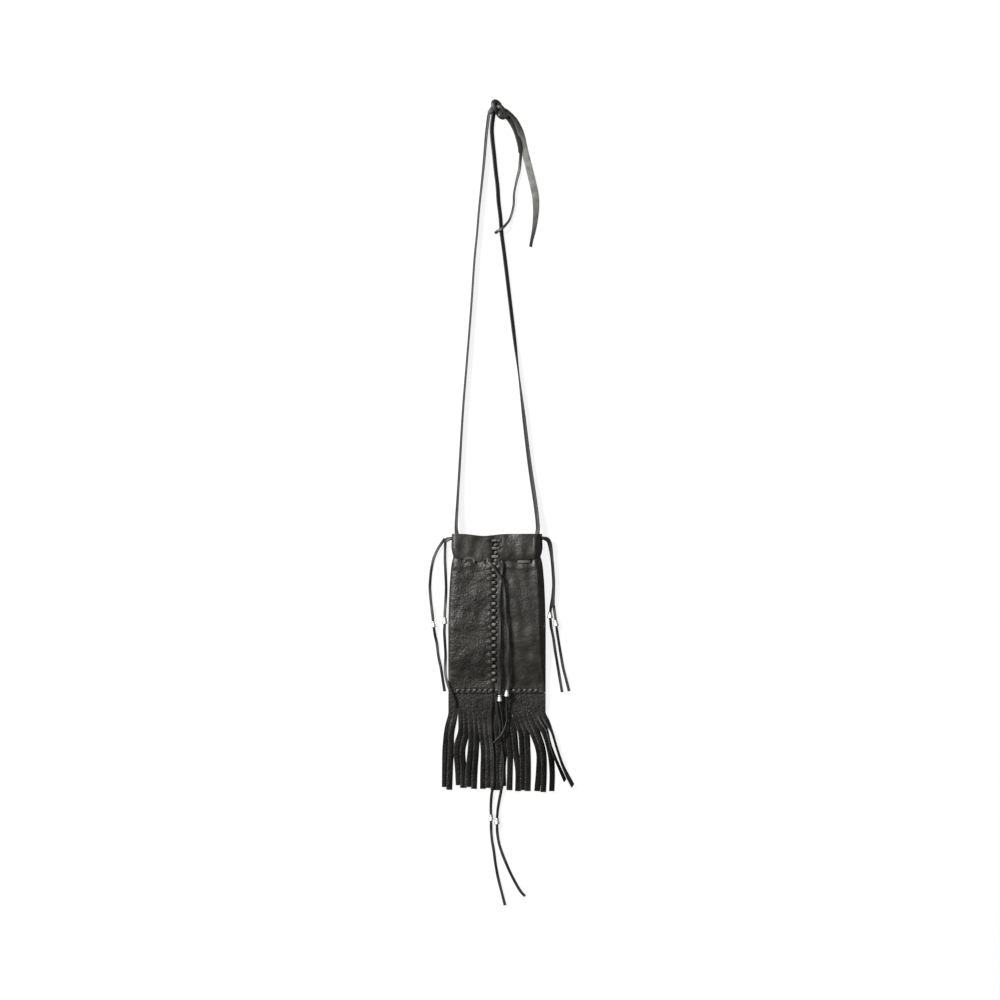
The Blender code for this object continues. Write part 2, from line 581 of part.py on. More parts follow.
def bead(name, route, y, cord_diameter, material):
    """A turned bell-shaped bead on a cord, its wide end towards the cord's end."""
    points = smooth_route(route, cord_diameter / 2)
    index = min(range(1, len(points) - 1), key=lambda k: abs(points[k].y - y))
    along = (points[index + 1] - points[index - 1]).normalized()
    bore = cord_diameter / 2 + BEAD_CLEARANCE
    bottom = BEAD_BOTTOM_RADIUS
    top = BEAD_TOP_RADIUS
    profile = ((bore, -0.5), (top - 0.2, -0.5), (top, -0.44), (top + 0.1, -0.2),
               (0.5 * (top + bottom), 0.12), (bottom, 0.38), (bottom - 0.25, 0.5), (bore, 0.5))
    mesh = bpy.data.meshes.new(name)
    bm = bmesh.new()
    sides = 12
    rings = []
    for k in range(sides):
        angle = 2 * math.pi * k / sides
        rings.append([bm.verts.new(Vector((r * math.cos(angle), r * math.sin(angle), h * BEAD_HEIGHT)) * MM)
                      for r, h in profile])
    for k in range(sides):
        first, second = rings[k], rings[(k + 1) % sides]
        for j in range(len(profile)):
            i = (j + 1) % len(profile)
            bm.faces.new((first[j], second[j], second[i], first[i]))
    bmesh.ops.recalc_face_normals(bm, faces=bm.faces)
    bm.to_mesh(mesh)
    bm.free()
    mesh.shade_smooth()
    obj = add_object(name, mesh, material)
    obj.location = points[index] * MM
    obj.rotation_euler = along.to_track_quat("Z", "Y").to_euler()
    return obj


for old in list(bpy.data.objects):
    bpy.data.objects.remove(old, do_unlink=True)

body_leather = principled("pebbled black leather", (0.020, 0.019, 0.018), 0.55)
lace_leather = principled("black leather lace", (0.013, 0.013, 0.012), 0.6)
silver = principled("polished silver", (0.80, 0.80, 0.79), 0.22, 1.0)

body = pouch_body(body_leather)
fringe_panel = fringe(body_leather)
laces = (
    ("front_seam_lace", seam_lace_path(), LACE_WIDTH, LACE_THICKNESS, (body,)),
    ("bottom_seam_lace", stitch_path(), STITCH_WIDTH, STITCH_THICKNESS, (body, fringe_panel)),
    ("drawstring", drawstring_path(), LACE_WIDTH, LACE_THICKNESS, (body,)),
)
for lace_name, lace_path, lace_width, lace_thickness, pierced in laces:
    flat_lace(lace_name, lace_path, lace_width, lace_thickness, lace_leather)
    hole = make_cutter(flat_lace(lace_name + "_holes", lace_path, lace_width + 2 * GAP,
                                 lace_thickness + 2 * GAP, None))
    for piece in pierced:
        subtract(piece, hole)
for eyelet_side in (-1, 1):
    subtract(body, eyelet_cutter(f"eyelet_{eyelet_side}", eyelet_side))

cord("strap_left", STRAP_LEFT, STRAP_DIAMETER, lace_leather)
cord("strap_right", STRAP_RIGHT, STRAP_DIAMETER, lace_leather)
cord("strap_tail_wide", STRAP_TAIL_WIDE, STRAP_DIAMETER, lace_leather, 2.5)
cord("strap_tail_narrow", STRAP_TAIL_NARROW, NARROW_DIAMETER, lace_leather)
cord("strap_knot", knot_route(), KNOT_DIAMETER, lace_leather, 0.8)
beaded_tails = (
    ("left_tail_outer", "left_bead_outer", LEFT_TAIL_OUTER, -12.1),
    ("left_tail_inner", "left_bead_inner", LEFT_TAIL_INNER, -8.3),
    ("right_tail_inner", "right_bead_inner", RIGHT_TAIL_INNER, -2.8),
    ("right_tail_outer", "right_bead_outer", RIGHT_TAIL_OUTER, -11.6),
    ("drawstring_tail_left", "drawstring_bead_left", DRAWSTRING_TAIL_LEFT, -93.5),
    ("drawstring_tail_right", "drawstring_bead_right", DRAWSTRING_TAIL_RIGHT, -88.0),
    ("seam_tail_left", "seam_bead_left", SEAM_TAIL_LEFT, -225.0),
    ("seam_tail_right", "seam_bead_right", SEAM_TAIL_RIGHT, -229.0),
)
for tail_name, bead_name, tail_route, bead_y in beaded_tails:
    cord(tail_name, tail_route, TAIL_DIAMETER, lace_leather)
    bead(bead_name, tail_route, bead_y, TAIL_DIAMETER, silver)
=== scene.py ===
"""The look of a fringed leather neck pouch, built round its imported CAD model.

The pouch lies on its back on a white table and is seen from straight above.
+X is to the right, +Y towards the strap's knot, +Z up. Lengths are in
millimetres until a mesh is made, and every object sits at the world origin.
"""
import math

import bpy
import numpy as np
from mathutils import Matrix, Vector


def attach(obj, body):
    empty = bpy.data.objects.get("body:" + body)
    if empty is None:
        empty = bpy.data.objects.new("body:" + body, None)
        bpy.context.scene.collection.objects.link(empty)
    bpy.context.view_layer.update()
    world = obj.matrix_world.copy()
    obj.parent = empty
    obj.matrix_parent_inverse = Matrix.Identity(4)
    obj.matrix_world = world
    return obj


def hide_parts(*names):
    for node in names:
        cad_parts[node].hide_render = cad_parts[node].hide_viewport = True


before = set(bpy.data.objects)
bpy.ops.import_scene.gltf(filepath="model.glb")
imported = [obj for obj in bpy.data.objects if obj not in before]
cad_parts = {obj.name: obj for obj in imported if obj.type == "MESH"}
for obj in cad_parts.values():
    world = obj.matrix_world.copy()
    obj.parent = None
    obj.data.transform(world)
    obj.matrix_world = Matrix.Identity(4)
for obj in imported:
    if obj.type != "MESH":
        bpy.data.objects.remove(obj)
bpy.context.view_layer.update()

MM = 0.001

# Pouch: one sheet of pebbled black leather wrapped into a flat tube. Its edges
# meet at the front, and a drawstring gathers it into a frill under the mouth.

LEATHER = 1.4
BODY_WIDTH = 107.0
BODY_DEPTH = 15.5
POUCH_HEIGHT = 174.5
MOUTH_Y = POUCH_HEIGHT / 2
BOTTOM_Y = -POUCH_HEIGHT / 2
DRAWSTRING_Y = MOUTH_Y - 28.0
STITCH_Y = BOTTOM_Y + 2.9
SEAM_X = -3.0
SEAM_GAP = 0.9
SEAM_OPENING = 6.0
SEAM_OPEN_BELOW = DRAWSTRING_Y - 8.0
SEAM_PITCH = 7.65
SEAM_START = 7.5
SEAM_STITCHES = 21
SEAM_GAPE = 1.9              # the right edge curls away this far between stitches
SEAM_TUCK = 1.4              # the left edge is tucked in this deep above the drawstring
FOLD_POWERS = (0.72, 1.6)    # how full the left and right side folds are
EDGE_BAND = 12.0             # this much beside the seam keeps its width at the narrow neck
HOLE_INSET = 2.2
STITCHES = 15
STITCH_PITCH = 6.15
STACK_DEPTH = 4.8
EYELET_Y = MOUTH_Y - 5.0
NECK_GROOVE = 1.0
NECK_HANG = 2.7              # the neck sinks this far at the middle
NECK_FOLD_RISE = 4.0         # and rises from there by this much near each side fold
FRILL_LENGTH = 27.0
FOLD_LENGTH = 14.0
FLAT_HALF = (BODY_WIDTH - BODY_DEPTH) / 2

# Half the width and half the height of the holes in the sheet.
LACING_HOLE = (0.9, 1.6)
DRAWSTRING_SLIT = (1.9, 1.95)
STITCH_HOLE = (0.75, 1.3)
EYELET_REACH = 2.1

# Height, width, depth and lift of the back over the table, as in the CAD model.
SECTIONS = np.array((
    (MOUTH_Y, 99.0, 12.4, 1.65), (MOUTH_Y - 9, 99.7, 12.7, 2.0),
    (DRAWSTRING_Y + 8, 100.2, 13.2, 2.35), (DRAWSTRING_Y + 2.6, 97.0, 12.4, 2.35),
    (DRAWSTRING_Y - 2.6, 97.0, 12.4, 2.35), (DRAWSTRING_Y - 8, 100.2, 13.2, 1.9),
    (0.4 * MOUTH_Y, 103.6, 14.9, 0.47), (0.15 * MOUTH_Y, 105.6, BODY_DEPTH, 0.0),
    (0.15 * BOTTOM_Y, BODY_WIDTH, BODY_DEPTH, 0.0), (0.4 * BOTTOM_Y, BODY_WIDTH, 14.4, 0.0),
    (0.6 * BOTTOM_Y, BODY_WIDTH, 12.1, 0.15), (0.75 * BOTTOM_Y, BODY_WIDTH, 7.8, 0.75),
    (BOTTOM_Y + 9.8, BODY_WIDTH, STACK_DEPTH, 1.5), (BOTTOM_Y, BODY_WIDTH, STACK_DEPTH, 1.5),
))
SECTION_SOFTNESS = 3.0
DRAWSTRING_SLITS = ((-37.0, 1), (-23.0, 1), (-12.0, 1), (7.0, 1), (23.0, 1), (37.0, 1),
                    (-37.0, -1), (-23.0, -1), (-9.0, -1), (9.0, -1), (23.0, -1), (37.0, -1))


def section(y):
    """Half-width, end radius and mid-height of the pouch's outside at each height y."""
    fine = np.arange(BOTTOM_Y - 12, MOUTH_Y + 12, 0.5)
    reach = int(4 * SECTION_SOFTNESS)
    weights = np.exp(-0.5 * (np.arange(-reach, reach + 1) * 0.5 / SECTION_SOFTNESS) ** 2)
    found = []
    for column in (1, 2, 3):
        values = np.interp(fine, SECTIONS[::-1, 0], SECTIONS[::-1, column])
        values = np.convolve(np.pad(values, reach, "edge"), weights / weights.sum(), "valid")
        found.append(np.interp(y, fine, values))
    width, depth, lift = found
    return width / 2, depth / 2, lift + depth / 2


def hump(x, centre, width):
    """1 at centre, falling off as exp(-((x - centre) / width)^2)."""
    return np.exp(-((x - centre) / width) ** 2)


def ramp(x, low, high):
    """0 below low, 1 above high and smooth between."""
    share = np.clip((x - low) / (high - low), 0, 1)
    return share * share * (3 - 2 * share)


def waves(x, y, size, seed, stretch=1.0, count=24):
    """Random smooth relief about size across: a sum of sines in seeded directions."""
    random = np.random.default_rng(seed)
    total = 0.0
    for _ in range(count):
        angle = random.uniform(0, 2 * math.pi)
        number = 2 * math.pi / (size * random.uniform(0.7, 1.6))
        total = total + np.sin(number * (x * math.cos(angle) / stretch + y * math.sin(angle))
                               + random.uniform(0, 2 * math.pi))
    return total * math.sqrt(2 / count)


def creases(x, y, size, seed, sharpness, stretch=1.0):
    """Narrow valleys, 0 to -1, along the zero lines of a random relief."""
    return -np.exp(-(waves(x, y, size, seed, stretch) / sharpness) ** 2)


def seam_edges(y):
    """Left and right edges of the centre seam, which gapes above the neck."""
    opening = np.clip((y - SEAM_OPEN_BELOW) / (MOUTH_Y - SEAM_OPEN_BELOW), 0, None) * SEAM_OPENING
    return SEAM_X - SEAM_GAP / 2 + 0 * y, SEAM_X + SEAM_GAP / 2 + opening


def hang(x, y):
    """The height that y sinks to at the neck: its lacing hangs low between the folds."""
    return y + hump(y, DRAWSTRING_Y, 11.0) * (NECK_FOLD_RISE * np.abs(x / 46) ** 8 - NECK_HANG)


def seam_relief(x, y, low):
    """The seam's edges dip, pucker at each stitch and send out pleats."""
    left_edge, right_edge = seam_edges(y)
    d = np.where(x < SEAM_X, left_edge - x, x - right_edge)
    right = x > SEAM_X
    stitches = np.cos(2 * math.pi * (y - (MOUTH_Y - SEAM_START)) / SEAM_PITCH)
    flush = ramp(y, DRAWSTRING_Y - 2, DRAWSTRING_Y + 10)
    dip = (0.95 + (0.9 - 1.5 * flush) * right) * hump(d, 0, 1.8)
    puckers = low * (1 - 0.8 * right) * (0.5 * hump(d, 4.6, 2.6) * (0.4 - stitches)
                                         - 0.45 * hump(d, 2.2, 1.3) * stitches)
    tuck = SEAM_TUCK * hump(d, 0, 6.0) * ~right * ramp(y, DRAWSTRING_Y - 4, DRAWSTRING_Y + 4)
    pleats = low * 0.34 * creases(x, y, 5.0, 31, 0.35, 5.0) * np.exp(-np.clip(d - 3, 0, None) / 11)
    return puckers + pleats - dip - tuck


def neck_relief(x, y, low):
    """The drawstring's groove, its lips, the frill's folds and the creases beside it."""
    right = x > SEAM_X
    groove = NECK_GROOVE * hump(y, DRAWSTRING_Y, 2.4)
    above = np.clip((y - DRAWSTRING_Y) / (MOUTH_Y - DRAWSTRING_Y), 0, 1)
    under = hump(np.minimum(y, DRAWSTRING_Y), DRAWSTRING_Y, 14) * (y < DRAWSTRING_Y)
    frill = above ** 0.7 * (0.35 + 0.6 * right) * np.cos(2 * math.pi * x / FRILL_LENGTH)
    folds = np.cos(2 * math.pi * (x + 0.12 * (y - DRAWSTRING_Y)) / FOLD_LENGTH)
    folds = folds * (0.35 * hump(above, 0.25, 0.3) * (0.3 + 0.7 * right) + 0.3 * under)
    lips = 0.45 * hump(y, DRAWSTRING_Y - 6.5, 3.4) + 0.12 * hump(y, DRAWSTRING_Y + 7, 4)
    tilt = ramp(y, DRAWSTRING_Y, DRAWSTRING_Y + 8) * np.where(
        right, 0.045 * np.clip(x - 4, 0, 34) - 0.3, -0.03 * np.clip(x + 46, 0, 40))
    upright = ramp(y, 47, 56) * (1 - ramp(y, 80, 87))
    crease = upright * (0.75 * hump(x, 41.4, 1.2) - 1.1 * hump(x, 44.8, 1.9))
    from_slant = ((x - 12.1) * 17.6 - (y - 34.1) * 7.7) / 19.2
    dent = 0.35 * hump(from_slant, 0, 2.6) * ramp(y, 26, 36) * (1 - ramp(y, 50, 58))
    away = ramp(np.abs(x - SEAM_X), 7, 14)
    return low * (away * (frill + folds) + lips + tilt + crease - groove - dent)


def relief(x, y):
    """How far the front leather stands above the plain section, in millimetres."""
    low = ramp(y, BOTTOM_Y + 6, BOTTOM_Y + 16)
    right = x > SEAM_X
    bumps = 0.35 * hump(np.hypot(x - 22, (y - 27) * 2), 0, 7)
    bumps = bumps + 0.9 * hump(x, -29.8, 4.2) * hump(y, DRAWSTRING_Y - 3.2, 2.2)
    belly = (0.32 * waves(x, y, 34, 5) + (0.16 - 0.06 * right) * waves(x, y, 14, 8)) * low
    crumple = 0.22 * creases(x, y, 9, 12, 0.22) + 0.15 * creases(x, y, 5.5, 19, 0.25)
    crumple = crumple * low * (1.0 - 0.5 * ramp(x, SEAM_X, SEAM_X + 12))
    crumple = crumple * (1.0 - 0.7 * ramp(y, DRAWSTRING_Y, DRAWSTRING_Y + 6) * ~right)
    stitch = 0.22 * hump(y, STITCH_Y, 2.0) * (np.cos(2 * math.pi * x / STITCH_PITCH) - 0.6)
    return seam_relief(x, y, low) + neck_relief(x, y, low) + bumps + belly + crumple + stitch


def stitch_holes(x, y):
    """Which places lie in a hole of the bottom stitching."""
    leg = (np.abs(x) + STITCH_PITCH / 2) % STITCH_PITCH - STITCH_PITCH / 2
    return ((np.abs(np.abs(leg) - STITCH_PITCH / 4) < STITCH_HOLE[0])
            & (np.abs(y - STITCH_Y) < STITCH_HOLE[1]))


def catmull(a, b, c, d, t):
    """The Catmull-Rom curve from b to c at t, with a before them and d after."""
    return 0.5 * (2 * b + (c - a) * t + (2 * a - 5 * b + 4 * c - d) * t ** 2
                  + (3 * b - a - 3 * c + d) * t ** 3)


def rounded(values, power):
    """Sines or cosines raised to a power with their signs kept, for a squarer round."""
    return np.sign(values) * np.abs(values) ** power


def spread(*stops, step):
    """Numbers from the first stop to the last, through each stop, at most step apart."""
    numbers = [np.linspace(a, b, max(1, math.ceil(abs(b - a) / step)), endpoint=False)
               for a, b in zip(stops, stops[1:])]
    return np.concatenate(numbers + [stops[-1:]])


def slab(name, middle, thickness, omit, material, bevel=0.3, grain=1.0):
    """A sheet of leather about a grid of mid-points: two skins, and walls round every cut.

    grain is how strongly the leather's pebbles show, one number or one for each mid-point.
    """
    along = np.gradient(middle, axis=0)
    across = np.gradient(middle, axis=1)
    normal = np.cross(along, across)
    normal /= np.linalg.norm(normal, axis=2, keepdims=True)
    rows, columns = middle.shape[:2]
    points = np.concatenate([middle + normal * thickness / 2, middle - normal * thickness / 2])
    index = np.arange(rows * columns).reshape(rows, columns)
    kept = ~omit
    corners = [index[:-1, :-1], index[1:, :-1], index[1:, 1:], index[:-1, 1:]]
    top = np.stack([corner[kept] for corner in corners], 1)
    faces = [top, top[:, ::-1] + rows * columns]
    padded = np.pad(kept, 1)
    for before, after, first, second in (
            (padded[1:-1, :-1], padded[1:-1, 1:], index[:-1], index[1:]),
            (padded[1:, 1:-1], padded[:-1, 1:-1], index[:, :-1], index[:, 1:])):
        for rim, a, b in ((after & ~before, first, second), (before & ~after, second, first)):
            faces.append(np.stack([b[rim], a[rim], a[rim] + rows * columns,
                                   b[rim] + rows * columns], 1))
    mesh = bpy.data.meshes.new(name)
    mesh.from_pydata((points.reshape(-1, 3) * MM).tolist(), [], np.concatenate(faces).tolist())
    edge = np.zeros(len(mesh.vertices), np.float32)
    edge[np.unique(np.concatenate(faces[2:]))] = 1.0
    mesh.attributes.new("edge", "FLOAT", "POINT").data.foreach_set("value", edge)
    grain = np.tile(np.broadcast_to(grain, (rows, columns)).ravel(), 2).astype(np.float32)
    mesh.attributes.new("grain", "FLOAT", "POINT").data.foreach_set("value", grain)
    mesh.validate()
    obj = add_object(name, mesh, material)
    strip_loose(obj)
    cut = obj.modifiers.new("worn edges", "BEVEL")
    cut.width = bevel * MM
    cut.segments = 2
    cut.limit_method = "ANGLE"
    cut.angle_limit = math.radians(55)
    cut.harden_normals = False
    return obj


def add_object(name, data, material):
    """Put an object with one material into the scene, smooth where it is a mesh."""
    obj = bpy.data.objects.new(name, data)
    obj.data.materials.append(material)
    bpy.context.scene.collection.objects.link(obj)
    if obj.type == "MESH":
        data.shade_smooth()
    return obj


def strip_loose(obj):
    """Remove the points that no face uses."""
    bpy.context.view_layer.objects.active = obj
    obj.select_set(True)
    bpy.ops.object.mode_set(mode="EDIT")
    bpy.ops.mesh.select_all(action="SELECT")
    bpy.ops.mesh.delete_loose()
    bpy.ops.object.mode_set(mode="OBJECT")
    obj.select_set(False)


def linear(text):
    """An sRGB hex colour as linear RGBA."""
    values = [int(text[k:k + 2], 16) / 255 for k in (1, 3, 5)]
    return [v / 12.92 if v <= 0.04045 else ((v + 0.055) / 1.055) ** 2.4 for v in values] + [1.0]


def node(tree, kind, output, inputs, **settings):
    """Add a shader node with its settings and inputs, and return one of its outputs."""
    added = tree.nodes.new("ShaderNode" + kind)
    for key, value in settings.items():
        setattr(added, key, value)
    for key, value in inputs.items():
        if isinstance(value, bpy.types.NodeSocket):
            tree.links.new(value, added.inputs[key])
        else:
            added.inputs[key].default_value = value
    return added.outputs[output]


def new_material(name, **values):
    """A Principled material, its node tree and its shader node, with plain values set."""
    material = bpy.data.materials.new(name)
    material.use_nodes = True
    tree = material.node_tree
    shader = tree.nodes["Principled BSDF"]
    for key, value in values.items():
        shader.inputs[key.replace("_", " ").title().replace("Ior", "IOR")].default_value = value
    return material, tree, shader


def pebbled_leather(name, low, high, rim_colour, grain, roughness, shine):
    """Grained leather: pebbles about grain mm across, finer pores, soft creases, patches of wear, and
    painted shade in the crevices between the pebbles, which leaves their tops lighter.
    """
    material, tree, shader = new_material(name, roughness=roughness, specular_ior_level=shine)
    place = node(tree, "TexCoord", "Object", {})
    pebbles = node(tree, "TexVoronoi", "Distance", {"Vector": place, "Scale": 1000 / grain},
                   feature="SMOOTH_F1")
    pores = node(tree, "TexNoise", "Fac", {"Vector": place, "Scale": 1000 / (0.4 * grain),
                                           "Detail": 3.0})
    level = node(tree, "Mapping", "Vector", {"Vector": place, "Scale": (0.5, 1.0, 1.0)})
    wrinkles = node(tree, "TexNoise", "Fac", {"Vector": level, "Scale": 1000 / (2.0 * grain),
                                              "Detail": 5.0, "Roughness": 0.7, "Distortion": 0.4})
    wear = node(tree, "TexNoise", "Fac", {"Vector": place, "Scale": 1000 / 22.0, "Detail": 5.0,
                                          "Roughness": 0.7})
    tone = node(tree, "MapRange", "Result", {"Value": wear, "From Min": 0.35, "From Max": 0.68})
    colour = node(tree, "Mix", 2, {"Factor": tone, 6: linear(low), 7: linear(high)},
                  data_type="RGBA")
    # Painted shade: the colour is darkened towards the crevices between the pebbles.
    valley = node(tree, "MapRange", "Result", {"Value": pebbles, "From Min": 0.25, "From Max": 0.75,
                                               "To Min": 1.0, "To Max": 0.55})
    colour = node(tree, "Mix", 2, {"Factor": 1.0, 6: colour, 7: valley}, data_type="RGBA",
                  blend_type="MULTIPLY")
    edge = node(tree, "Attribute", "Fac", {}, attribute_name="edge")
    rim = node(tree, "MapRange", "Result", {"Value": edge, "From Min": 0.45, "From Max": 0.95,
                                            "To Min": 0.0, "To Max": 0.5})
    colour = node(tree, "Mix", 2, {"Factor": rim, 6: colour, 7: linear(rim_colour)},
                  data_type="RGBA")
    tree.links.new(colour, shader.inputs["Base Color"])
    gloss = node(tree, "MapRange", "Result", {"Value": wrinkles, "From Min": 0.3, "From Max": 0.7,
                                              "To Min": roughness + 0.06, "To Max": roughness - 0.06})
    tree.links.new(gloss, shader.inputs["Roughness"])
    strength = node(tree, "Attribute", "Fac", {}, attribute_name="grain")
    bump = node(tree, "Bump", "Normal", {"Height": wrinkles, "Strength": strength,
                                         "Distance": 0.0009})
    bump = node(tree, "Bump", "Normal", {"Height": pebbles, "Strength": strength,
                                         "Distance": 0.0005, "Normal": bump}, invert=True)
    bump = node(tree, "Bump", "Normal", {"Height": pores, "Strength": 0.35, "Distance": 0.00012,
                                         "Normal": bump})
    tree.links.new(bump, shader.inputs["Normal"])
    return material


def darken(material, dark_y, plain_y, darkest):
    """Multiply a leather's colour by a factor that rises along Y, from darkest to 1."""
    tree = material.node_tree
    base = tree.nodes["Principled BSDF"].inputs["Base Color"]
    height = node(tree, "SeparateXYZ", "Y", {"Vector": node(tree, "TexCoord", "Object", {})})
    fade = node(tree, "MapRange", "Result", {
        "Value": height, "From Min": dark_y * MM, "From Max": plain_y * MM,
        "To Min": darkest, "To Max": 1.0})
    colour = node(tree, "Mix", 2, {"Factor": 1.0, 6: base.links[0].from_socket, 7: fade},
                  data_type="RGBA", blend_type="MULTIPLY")
    tree.links.new(colour, base)


def pouch_holes(x, y, up):
    """Which cells of the sheet are cut out: lacing holes, slits, stitch holes and eyelets."""
    x, y, up = ((value[:-1, :-1] + value[1:, 1:]) / 2 for value in (x, y, up))
    left, right = seam_edges(y)
    inset = np.where(x < SEAM_X, left - x, x - right)
    down = MOUTH_Y - y - SEAM_START
    step = (down + SEAM_PITCH / 2) % SEAM_PITCH - SEAM_PITCH / 2
    in_row = (down > -3) & (down < SEAM_PITCH * (SEAM_STITCHES - 0.5))
    omit = ((up > 0.99) & in_row & (np.abs(inset - HOLE_INSET) < LACING_HOLE[0])
            & (np.abs(step) < LACING_HOLE[1]))
    for slit_x, side in DRAWSTRING_SLITS:
        omit |= ((up * side > 0.99) & (np.abs(x - slit_x) < DRAWSTRING_SLIT[0])
                 & (np.abs(y - DRAWSTRING_Y) < DRAWSTRING_SLIT[1]))
    omit |= (stitch_holes(x, y) & (np.abs(x) < (STITCHES / 2) * STITCH_PITCH)
             & (np.abs(up) > 0.99))
    return omit | ((np.abs(up) < 0.36) & (np.abs(y - EYELET_Y) < EYELET_REACH))


def pouch_grid():
    """Mid-points of the wrapped sheet, rows from mouth to bottom, and which cells are holes."""
    pitch = SEAM_PITCH / 6
    first = (SEAM_START - 1.5 * pitch) % pitch
    y = np.concatenate([[0.0], np.arange(first, POUCH_HEIGHT - 0.3 * pitch, pitch), [POUCH_HEIGHT]])
    y = (MOUTH_Y - y)[:, None]
    half, radius, middle = section(y)
    fold = half - radius
    reach = radius - LEATHER / 2
    left, right = seam_edges(y)
    opening = right - right.min()
    stops = (0.0, HOLE_INSET - LACING_HOLE[0], HOLE_INSET + LACING_HOLE[0], EDGE_BAND)
    d_right = spread(*stops, FLAT_HALF - SEAM_X - SEAM_GAP / 2, step=0.95)
    d_left = spread(*stops, FLAT_HALF + SEAM_X - SEAM_GAP / 2, step=0.95)
    near = right.min() + d_right
    share = np.clip((d_right - EDGE_BAND) / (d_right[-1] - EDGE_BAND), 0, 1)
    gape = SEAM_GAPE * (0.5 - 0.5 * np.cos(2 * math.pi * (y - MOUTH_Y + SEAM_START) / SEAM_PITCH))
    gape = gape * ramp(y, BOTTOM_Y + 8, BOTTOM_Y + 16) * (1 - ramp(y, MOUTH_Y - 6, MOUTH_Y))
    x_right = near + opening * (1 - ramp(d_right, 4.0, 9.0)) + share * (fold - near[-1])
    x_right = x_right + gape * (1 - ramp(d_right, 0.0, 4.0))
    near = left.min() - d_left
    share = np.clip((d_left - EDGE_BAND) / (d_left[-1] - EDGE_BAND), 0, 1)
    x_left = near + share * (-fold - near[-1]) - 0.2 * gape * (1 - ramp(d_left, 0.0, 3.0))
    turn = np.linspace(0, math.pi, 27)[1:-1]
    (out_left, over_left), (out_right, over_right) = (
        (np.sin(turn) ** power, rounded(np.cos(turn), power)) for power in FOLD_POWERS)
    back = np.linspace(1, -1, 77)
    x = np.concatenate([x_right, fold + reach * out_right, fold * back,
                        -fold - reach * out_left, x_left[:, ::-1]], 1)
    up = np.concatenate([np.ones_like(x_right), over_right + 0 * y, -1 + 0 * (back * y),
                         -over_left + 0 * y, np.ones_like(x_left)], 1)
    z = middle + reach * up
    y = y + 0 * x
    z = z + np.where(up > 0, ramp(up, 0, 0.9) * relief(x, y), 0)
    sag = -2.3 * hump(x, -14, 15) * ramp(y, MOUTH_Y - 14, MOUTH_Y)
    pull = -0.8 * hump(y, DRAWSTRING_Y, 2.6) * (1 - np.abs(up)) * np.sign(x)
    grid = np.stack([x + pull, hang(x, y) + sag, z], 2)
    return grid, pouch_holes(grid[:, :, 0], y, up)


body_leather = pebbled_leather("pebbled black leather", "#171614", "#34322d", "#262420",
                               1.9, 0.44, 0.38)
grid, holes = pouch_grid()
grid[:, :, 2] = np.maximum(grid[:, :, 2], LEATHER / 2 + 0.02)
smooth_frill = 0.5 * ramp(grid[:, :, 1], DRAWSTRING_Y - 4, DRAWSTRING_Y + 4)
grain = np.where(grid[:, :, 0] < SEAM_X, 0.9 - smooth_frill, 0.5)
pouch = slab("pouch", grid, LEATHER, holes, body_leather, grain=grain)
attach(pouch, "root")
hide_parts("pouch_body")

# Fringe: one panel of the same leather, sewn in between the pouch's layers and
# cut into strips, which hang twisted and splay at the right.

FRINGE_BAND = 21.5
STRIP_GAP = 0.08
STRIP_WIDTH = 6.2
# Each strip's length, twist in degrees, and how far it has drifted to the right
# a quarter, half, three quarters and all of the way down.
STRIPS = (
    (82.5, -16, -4.1, -6.2, -6.6, -6.8),
    (85.5, -20, -4.1, -5.2, -6.0, -6.7),
    (80.5, -14, 0.5, -4.3, -3.1, -2.1),
    (83.5, -22, 1.1, -2.9, -2.2, -2.2),
    (82.5, -16, 1.6, 0.4, -1.5, -2.5),
    (84.5, -24, 2.0, 1.3, -0.1, -1.0),
    (84.5, -18, 2.1, 4.0, 3.5, 3.1),
    (83.5, -13, 1.9, 4.3, 4.2, 3.8),
    (86, -11, 1.9, 4.3, 4.6, 4.5),
    (86, -12, 3.1, 4.8, 4.4, 4.0),
    (81.5, -12, 3.7, 5.5, 3.8, 4.1),
    (86, -14, 4.3, 6.3, 6.2, 5.7),
    (87, -20, 5.4, 7.3, 9.8, 9.6),
    (86, -24, 7.2, 9.0, 10.0, 9.8),
    (87, -18, 8.0, 9.8, 10.2, 9.8),
    (87, -22, 9.6, 16.4, 16.3, 14.5),
    (88, -26, 9.2, 16.0, 17.0, 16.1),
    (87, -30, 11.8, 18.2, 20.4, 20.1),
    (75.5, -78, 9.1, 13.8, 21.0, 29.3),
    (81, -80, 9.0, 15.2, 22.3, 32.5),
)
STRIP_COLUMNS = 7
DROP_START = 5.0
DROP_LENGTH = 38.0


def quarter_curve(values, t):
    """A smooth curve through values at t = 0, 1/4, 1/2, 3/4 and 1."""
    values = np.array([values[0], *values, 2 * values[-1] - values[-2]])
    k = np.minimum((t * 4).astype(int), 3)
    s = t * 4 - k
    a, b, c, d = (values[k + j] for j in range(4))
    return catmull(a, b, c, d, s)


